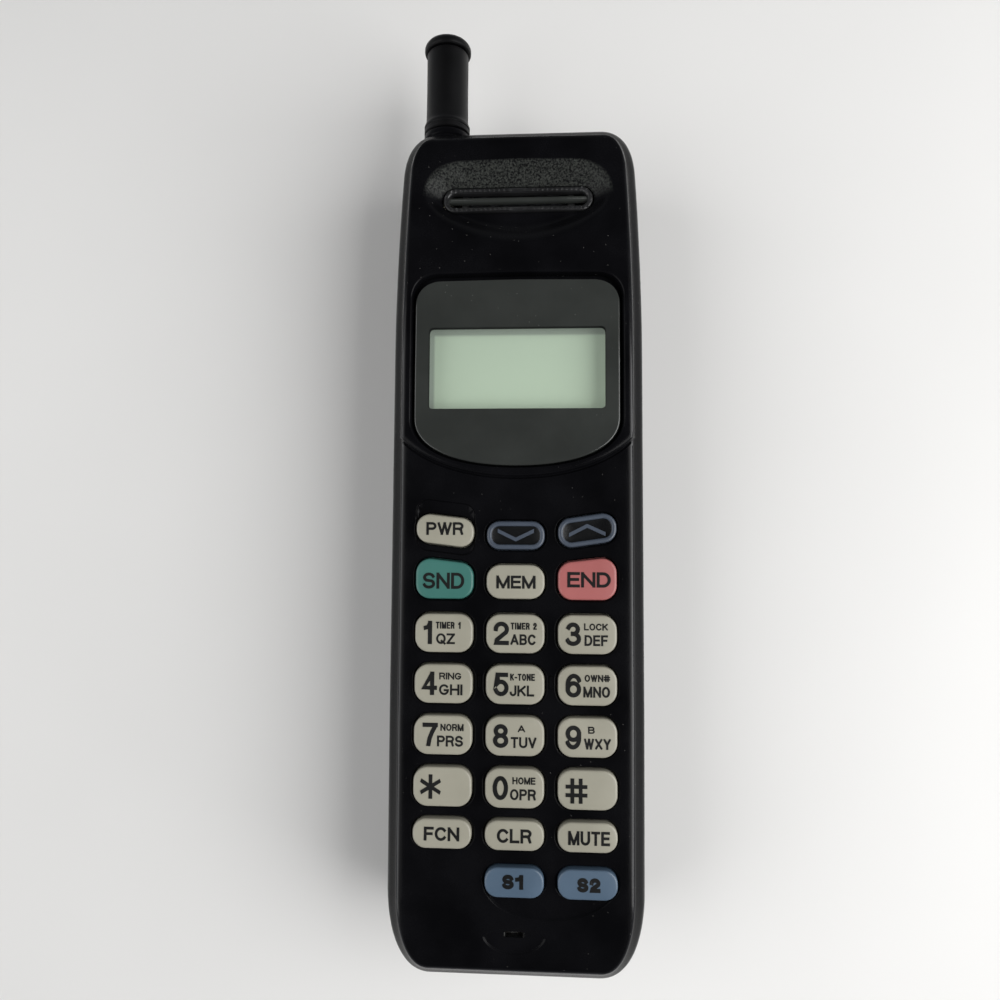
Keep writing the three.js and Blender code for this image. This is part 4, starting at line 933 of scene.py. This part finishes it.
def backBottom(p):
    inset = depthInside(outline, p)
    head = step(back["head"], inset)
    head = np.maximum(head, step([(0, 0.5), (0.15, 0.2), (0.5, 0)], p[:, 1] - back["headStart"]))
    return np.where(p[:, 1] < back["headStart"] - 0.001, step(back["tray"], inset), head)


def backTop(p):
    inset = depthInside(outline, p)
    floor = np.where(inset < 2.05, shell["parting"] - 0.3, back["inside"])
    inHead = p[:, 1] > back["headStart"] + back["wall"] + 0.02
    return np.where(inHead, step(back["headInside"], inset), np.where(inset <= 2.001, shell["parting"] - 0.3, floor))


across = lambda y: np.array([(-30.0, y), (30.0, y)])
screwX, screwY, screwRadius = back["screw"]
screwHoles = [circleLoop(side * screwX, screwY, screwRadius, 28) for side in (-1, 1)]
backRings = [grown(outline, -d) for d in (0.25, 0.4, 0.6, 0.9, 0.95, 1.15, 1.4, 1.75, 2.001, 2.06, 2.2, 2.5, 2.8, 3.1,
                                          3.5, 3.9, 4.2, 4.4)]
backCase = moulded("back_case", outline, backRings, [rectangle(*back["button"], 6)] + screwHoles, backTop, backBottom,
                   ["backBlack"], lines=[across(y) for y in (28.79, 28.81, 28.95, 29.3, 30.8, 30.83)])


def wallSlot(width, low, high):
    return [(-width / 2, low), (width / 2, low), (width / 2, high), (-width / 2, high)]


cutEnds(backCase)
for slotSize in ("terminals", "tongue"):
    cutWith(backCase, wallSlot(*back[slotSize]), "Y", *back["slotCut"])
evenNormals(backCase)
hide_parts("rear_shell")
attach(backCase, "handset")

rail = {"x": 24.9, "low": -62, "high": 22, "neck": 1.2, "flange": 3.2, "root": 18.1, "top": 15.5, "thickness": 1.2}
for side, name in ((-1, "pack_rail_left"), (1, "pack_rail_right")):
    x, n, f = side * rail["x"], rail["neck"] / 2, rail["flange"] / 2
    top, low = rail["top"], rail["top"] - rail["thickness"]
    section = [(x - f, low + 0.2), (x - f + 0.2, low), (x + f - 0.2, low), (x + f, low + 0.2), (x + f, top - 0.2),
               (x + f - 0.2, top), (x + n, top), (x + n, rail["root"]), (x - n, rail["root"]), (x - n, top),
               (x - f + 0.2, top), (x - f, top - 0.2)]
    count = len(section)
    vertices = [(u, y, v) for y in (rail["low"], rail["high"]) for u, v in section]
    faces = [tuple(range(count)), tuple(range(count, 2 * count))[::-1]]
    faces += [((i + 1) % count, i, count + i, count + (i + 1) % count) for i in range(count)]
    piece = newPiece(name, vertices, faces, ["backBlack"])
    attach(piece, "handset")
print("back shell made")

# battery pack: a deep tray with a ribbed thumb grip
pack = {"side": [(0.7, 15.6), (1.1, 9.5), (1.5, 4.4), (1.85, 2.5), (2.3, 1.3), (2.9, 0.58), (3.6, 0.18), (4.4, 0)],
        "inside": [(0, 15.6), (1.4, 15.6), (1.45, 13.5), (2.5, 3.4), (3.6, 1.5)], "top": 28.4,
        "grip": {"ribs": 7, "pitch": 2.2, "length": 21.0, "radius": 0.55, "y": 8.0, "z": 0.62},
        "recess": (0, 14.6, 27, 17.5, 3.0, 0.5)}


def clipped(loop, high):  # the part of a loop below a line across
    cut = []
    for a, b in zip(loop, np.roll(loop, -1, 0)):
        if a[1] <= high:
            cut.append(a)
        if (a[1] - high) * (b[1] - high) < 0:
            cut.append(a + (b - a) * (high - a[1]) / (b[1] - a[1]))
    return np.array(cut)


packLoop = clipped(grown(outline, -0.7), pack["top"])
gripLoop = rectangle(*pack["recess"][:5], 8)


def packBottom(p):
    z = step(pack["side"], depthInside(outline, p))
    z = np.maximum(z, step([(0, 0.55), (0.12, 0.28), (0.3, 0.1), (0.6, 0)], pack["top"] - p[:, 1]))
    return z + pack["recess"][5] * smoothStep((depthInside(gripLoop, p) + 0.1) / 0.9)


def packTop(p):
    inset = np.minimum(depthInside(outline, p) - 0.7, pack["top"] - p[:, 1])
    z = step(pack["inside"], inset)
    return np.maximum(z, packBottom(p) + 0.9)


packRings = [clipped(grown(outline, -d), pack["top"] - e) for d, e in
             ((1.1, 0), (1.5, 0), (1.85, 0), (2.1, 1.4), (2.15, 1.45), (2.3, 0), (2.6, 0), (2.9, 0), (3.2, 2.5),
              (3.6, 0), (4.0, 0), (4.3, 3.6), (4.4, 0))]
packRings += [grown(gripLoop, -d) for d in (-0.1, 0.1, 0.3, 0.5, 0.8)]
packCase = moulded("pack_case", packLoop, packRings, [], packTop, packBottom, ["backBlack"],
                   lines=[across(pack["top"] - d) for d in (0.12, 0.3, 0.6, 1.4, 1.45)])
cutWith(packCase, wallSlot(*back["terminals"]), "Y", 26.5, 30)
cutWith(packCase, wallSlot(*back["tongue"]), "Y", 25, 30)
evenNormals(packCase)
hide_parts("battery_case")
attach(packCase, "battery_pack")


# Geometry Nodes: a row of half-sunk round ribs across X, stepping along Y.
def ribRow(name, body, slotName, ribs, pitch, length, radius, place, finish):
    tree = bpy.data.node_groups.new("rib row", "GeometryNodeTree")
    sizes = {"Ribs": ("NodeSocketInt", ribs), "Pitch": ("NodeSocketFloat", pitch * mm),
             "Length": ("NodeSocketFloat", length * mm), "Radius": ("NodeSocketFloat", radius * mm)}
    identifier = {key: tree.interface.new_socket(key, in_out="INPUT", socket_type=kind).identifier
                  for key, (kind, _) in sizes.items()}
    tree.interface.new_socket("Geometry", in_out="OUTPUT", socket_type="NodeSocketGeometry")
    given = Wire(tree, tree.nodes.new("NodeGroupInput").outputs[0])
    size = {key: Wire(tree, given.socket.node.outputs[key]) for key in sizes}
    apart = given.make("ShaderNodeCombineXYZ", {}, {"Y": size["Pitch"]})
    points = given.make("GeometryNodeMeshLine", {"mode": "OFFSET"}, {"Count": size["Ribs"], "Offset": apart})
    line = given.make("GeometryNodeCurvePrimitiveLine", {}, {
        "Start": given.make("ShaderNodeCombineXYZ", {}, {"X": size["Length"] * -0.5}),
        "End": given.make("ShaderNodeCombineXYZ", {}, {"X": size["Length"] * 0.5})})
    along = given.make("GeometryNodeResampleCurve", {}, {"Curve": line, "Count": 15})
    part = given.make("GeometryNodeSplineParameter")
    thick = (1.02 - (part * 2 - 1) ** 6.0)
    shaped = given.make("GeometryNodeSetCurveRadius", {}, {"Curve": along, "Radius": thick ** 0.5})
    circle = given.make("GeometryNodeCurvePrimitiveCircle", {}, {"Resolution": 14, "Radius": size["Radius"]})
    rib = given.make("GeometryNodeCurveToMesh", {}, {"Curve": shaped, "Profile Curve": circle, "Scale": thick ** 0.5,
                                                     "Fill Caps": True})
    copies = given.make("GeometryNodeInstanceOnPoints", {}, {"Points": points, "Instance": rib})
    real = given.make("GeometryNodeRealizeInstances", {}, {"Geometry": copies})
    done = given.make("GeometryNodeSetMaterial", {}, {"Geometry": real, "Material": paint[finish]})
    tree.links.new(done.socket, tree.nodes.new("NodeGroupOutput").inputs[0])
    holder = bpy.data.objects.new(name, bpy.data.meshes.new(name))
    scene.collection.objects.link(holder)
    live = holder.modifiers.new("ribs", "NODES")
    live.node_group = tree
    for key, (_, value) in sizes.items():
        live[identifier[key]] = value
    bpy.context.view_layer.update()
    mesh = bpy.data.meshes.new_from_object(holder.evaluated_get(bpy.context.evaluated_depsgraph_get()))
    holder.modifiers.clear()
    mesh.transform(Matrix.Translation(Vector(place) * mm))
    mesh.shade_smooth()
    mesh.set_sharp_from_angle(angle=math.radians(50))
    holder.data = mesh
    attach(holder, body)
    return holder


grip = pack["grip"]
ribRow("pack_grip_ribs", "battery_pack", "black_plastic", grip["ribs"], grip["pitch"], grip["length"], grip["radius"],
       (0, grip["y"], grip["z"]), "backBlack")
print("battery pack made")

# latch button with its own small ribs, and its leaf spring
latchY = back["button"][1]
latch = {"pad": (0, latchY, 15.2, 8.0, 2.0), "flange": (0, latchY, 20, 12, 2.0), "tongue": (8.0, 26.6, 35.0),
         "low": 0.5, "shoulder": 2.3, "high": 3.7, "ribs": (4, 1.7, 11.5, 0.32), "firstRib": -2.55, "ribZ": 0.46}
padLoop = rectangle(*latch["pad"], 8)
flangeLoop = rectangle(*latch["flange"], 8)
rings = [(grown(padLoop, -d), latch["low"] + rise) for d, rise in ((0.6, 0), (0.25, 0.06), (0.07, 0.22), (0, 0.5))]
rings += [(padLoop, latch["shoulder"]), (flangeLoop, latch["shoulder"]), (flangeLoop, latch["high"])]
vertices, faces = lofted(rings)
w, y0, y1 = latch["tongue"]
first = len(vertices)
tongueLoop = rectangle(0, (y0 + y1) / 2, w, y1 - y0, 0.8, 5)
more, moreFaces = lofted([(grown(tongueLoop, -0.25), latch["shoulder"] + 0.02), (tongueLoop, latch["shoulder"] + 0.25),
                          (tongueLoop, latch["high"] - 0.25), (grown(tongueLoop, -0.25), latch["high"] - 0.02)])
faces += [tuple(v + first for v in f) for f in moreFaces]
button = newPiece("latch_button", vertices + more, faces, ["backBlack"], smooth=45)
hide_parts("battery_latch")
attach(button, "battery_latch")
ribRow("latch_button_ribs", "battery_latch", "black_plastic", *latch["ribs"], (0, latchY + latch["firstRib"],
       latch["ribZ"]), "backBlack")

leaf = {"half": 8.0, "y": (37.4, 41.4), "foot": 7.1, "belly": 4.0, "thick": 0.4, "steps": 40}
steps = leaf["steps"]
stations = np.linspace(-leaf["half"], leaf["half"], steps + 1)
middle = leaf["belly"] + leaf["thick"] / 2 + (leaf["foot"] - leaf["belly"] - leaf["thick"]) * (
    1 - np.cos(math.pi * stations / leaf["half"])) / 2
vertices = [(x, y, z + t) for x, z in zip(stations, middle) for y, t in
            ((leaf["y"][0], -0.2), (leaf["y"][1], -0.2), (leaf["y"][1], 0.2), (leaf["y"][0], 0.2))]
faces = [(3, 2, 1, 0), tuple(range(4 * steps, 4 * steps + 4))]
faces += [(4 * i + k, 4 * i + (k + 1) % 4, 4 * i + 4 + (k + 1) % 4, 4 * i + 4 + k)
          for i in range(steps) for k in range(4)]
spring = newPiece("latch_leaf_spring", vertices, faces, ["tin"], smooth=30)
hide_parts("latch_spring")
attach(spring, "handset")
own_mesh(spring)
print("latch made")

# finishes for the frame's own nodes
for piece in list(scene.objects):
    node = piece.get("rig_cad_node")
    if node and not piece.hide_render:
        for place in piece.material_slots:
            place.material = paint[nodePaint[slotOf[node]]]
print("frame nodes finished")

# floor and light
floor = {"half": 300, "top": -0.1}
floorMesh = bpy.data.meshes.new("floor")
corners = [(x * floor["half"] * mm, y * floor["half"] * mm, floor["top"] * mm)
           for x, y in ((-1, -1), (1, -1), (1, 1), (-1, 1))]
floorMesh.from_pydata(corners, [], [(0, 1, 2, 3)])
floorPiece = bpy.data.objects.new("floor", floorMesh)
scene.collection.objects.link(floorPiece)
floorFinish, at = startMaterial("pale table")
cloud = at.noise(6, 3).band(0.3, 0.7)
endMaterial(floorFinish, at, {"Base Color": cloud.tint(colour(222, 221, 219), colour(228, 227, 225)),
                              "Roughness": 0.7, "Specular IOR Level": 0.2})
floorMesh.materials.append(floorFinish)

lamps = {"right": ((0.45, -0.06, 0.42), 0.55, 4.9), "left": ((-0.62, -0.08, 0.5), 0.8, 4.2)}
for name, (place, size, power) in lamps.items():
    light = bpy.data.lights.new(name, "AREA")
    light.size, light.energy = size, power
    lamp = bpy.data.objects.new(name, light)
    lamp.location = place
    lamp.rotation_euler = (Vector((0, 0, 0.02)) - Vector(place)).to_track_quat("-Z", "Y").to_euler()
    scene.collection.objects.link(lamp)
world = bpy.data.worlds.new("room")
scene.world = world
world.use_nodes = True
tree = world.node_tree
tree.nodes.clear()
sky = Wire(tree, tree.nodes.new("ShaderNodeTexCoord").outputs["Generated"])
room = sky.make("ShaderNodeBackground", {}, {"Color": sky.axis(2).band(0.1, 0.7).tint((0.36, 0.37, 0.39, 1),
                                                                               (0.04, 0.042, 0.045, 1))})
tree.links.new(room.socket, tree.nodes.new("ShaderNodeOutputWorld").inputs["Surface"])
print("stage set")
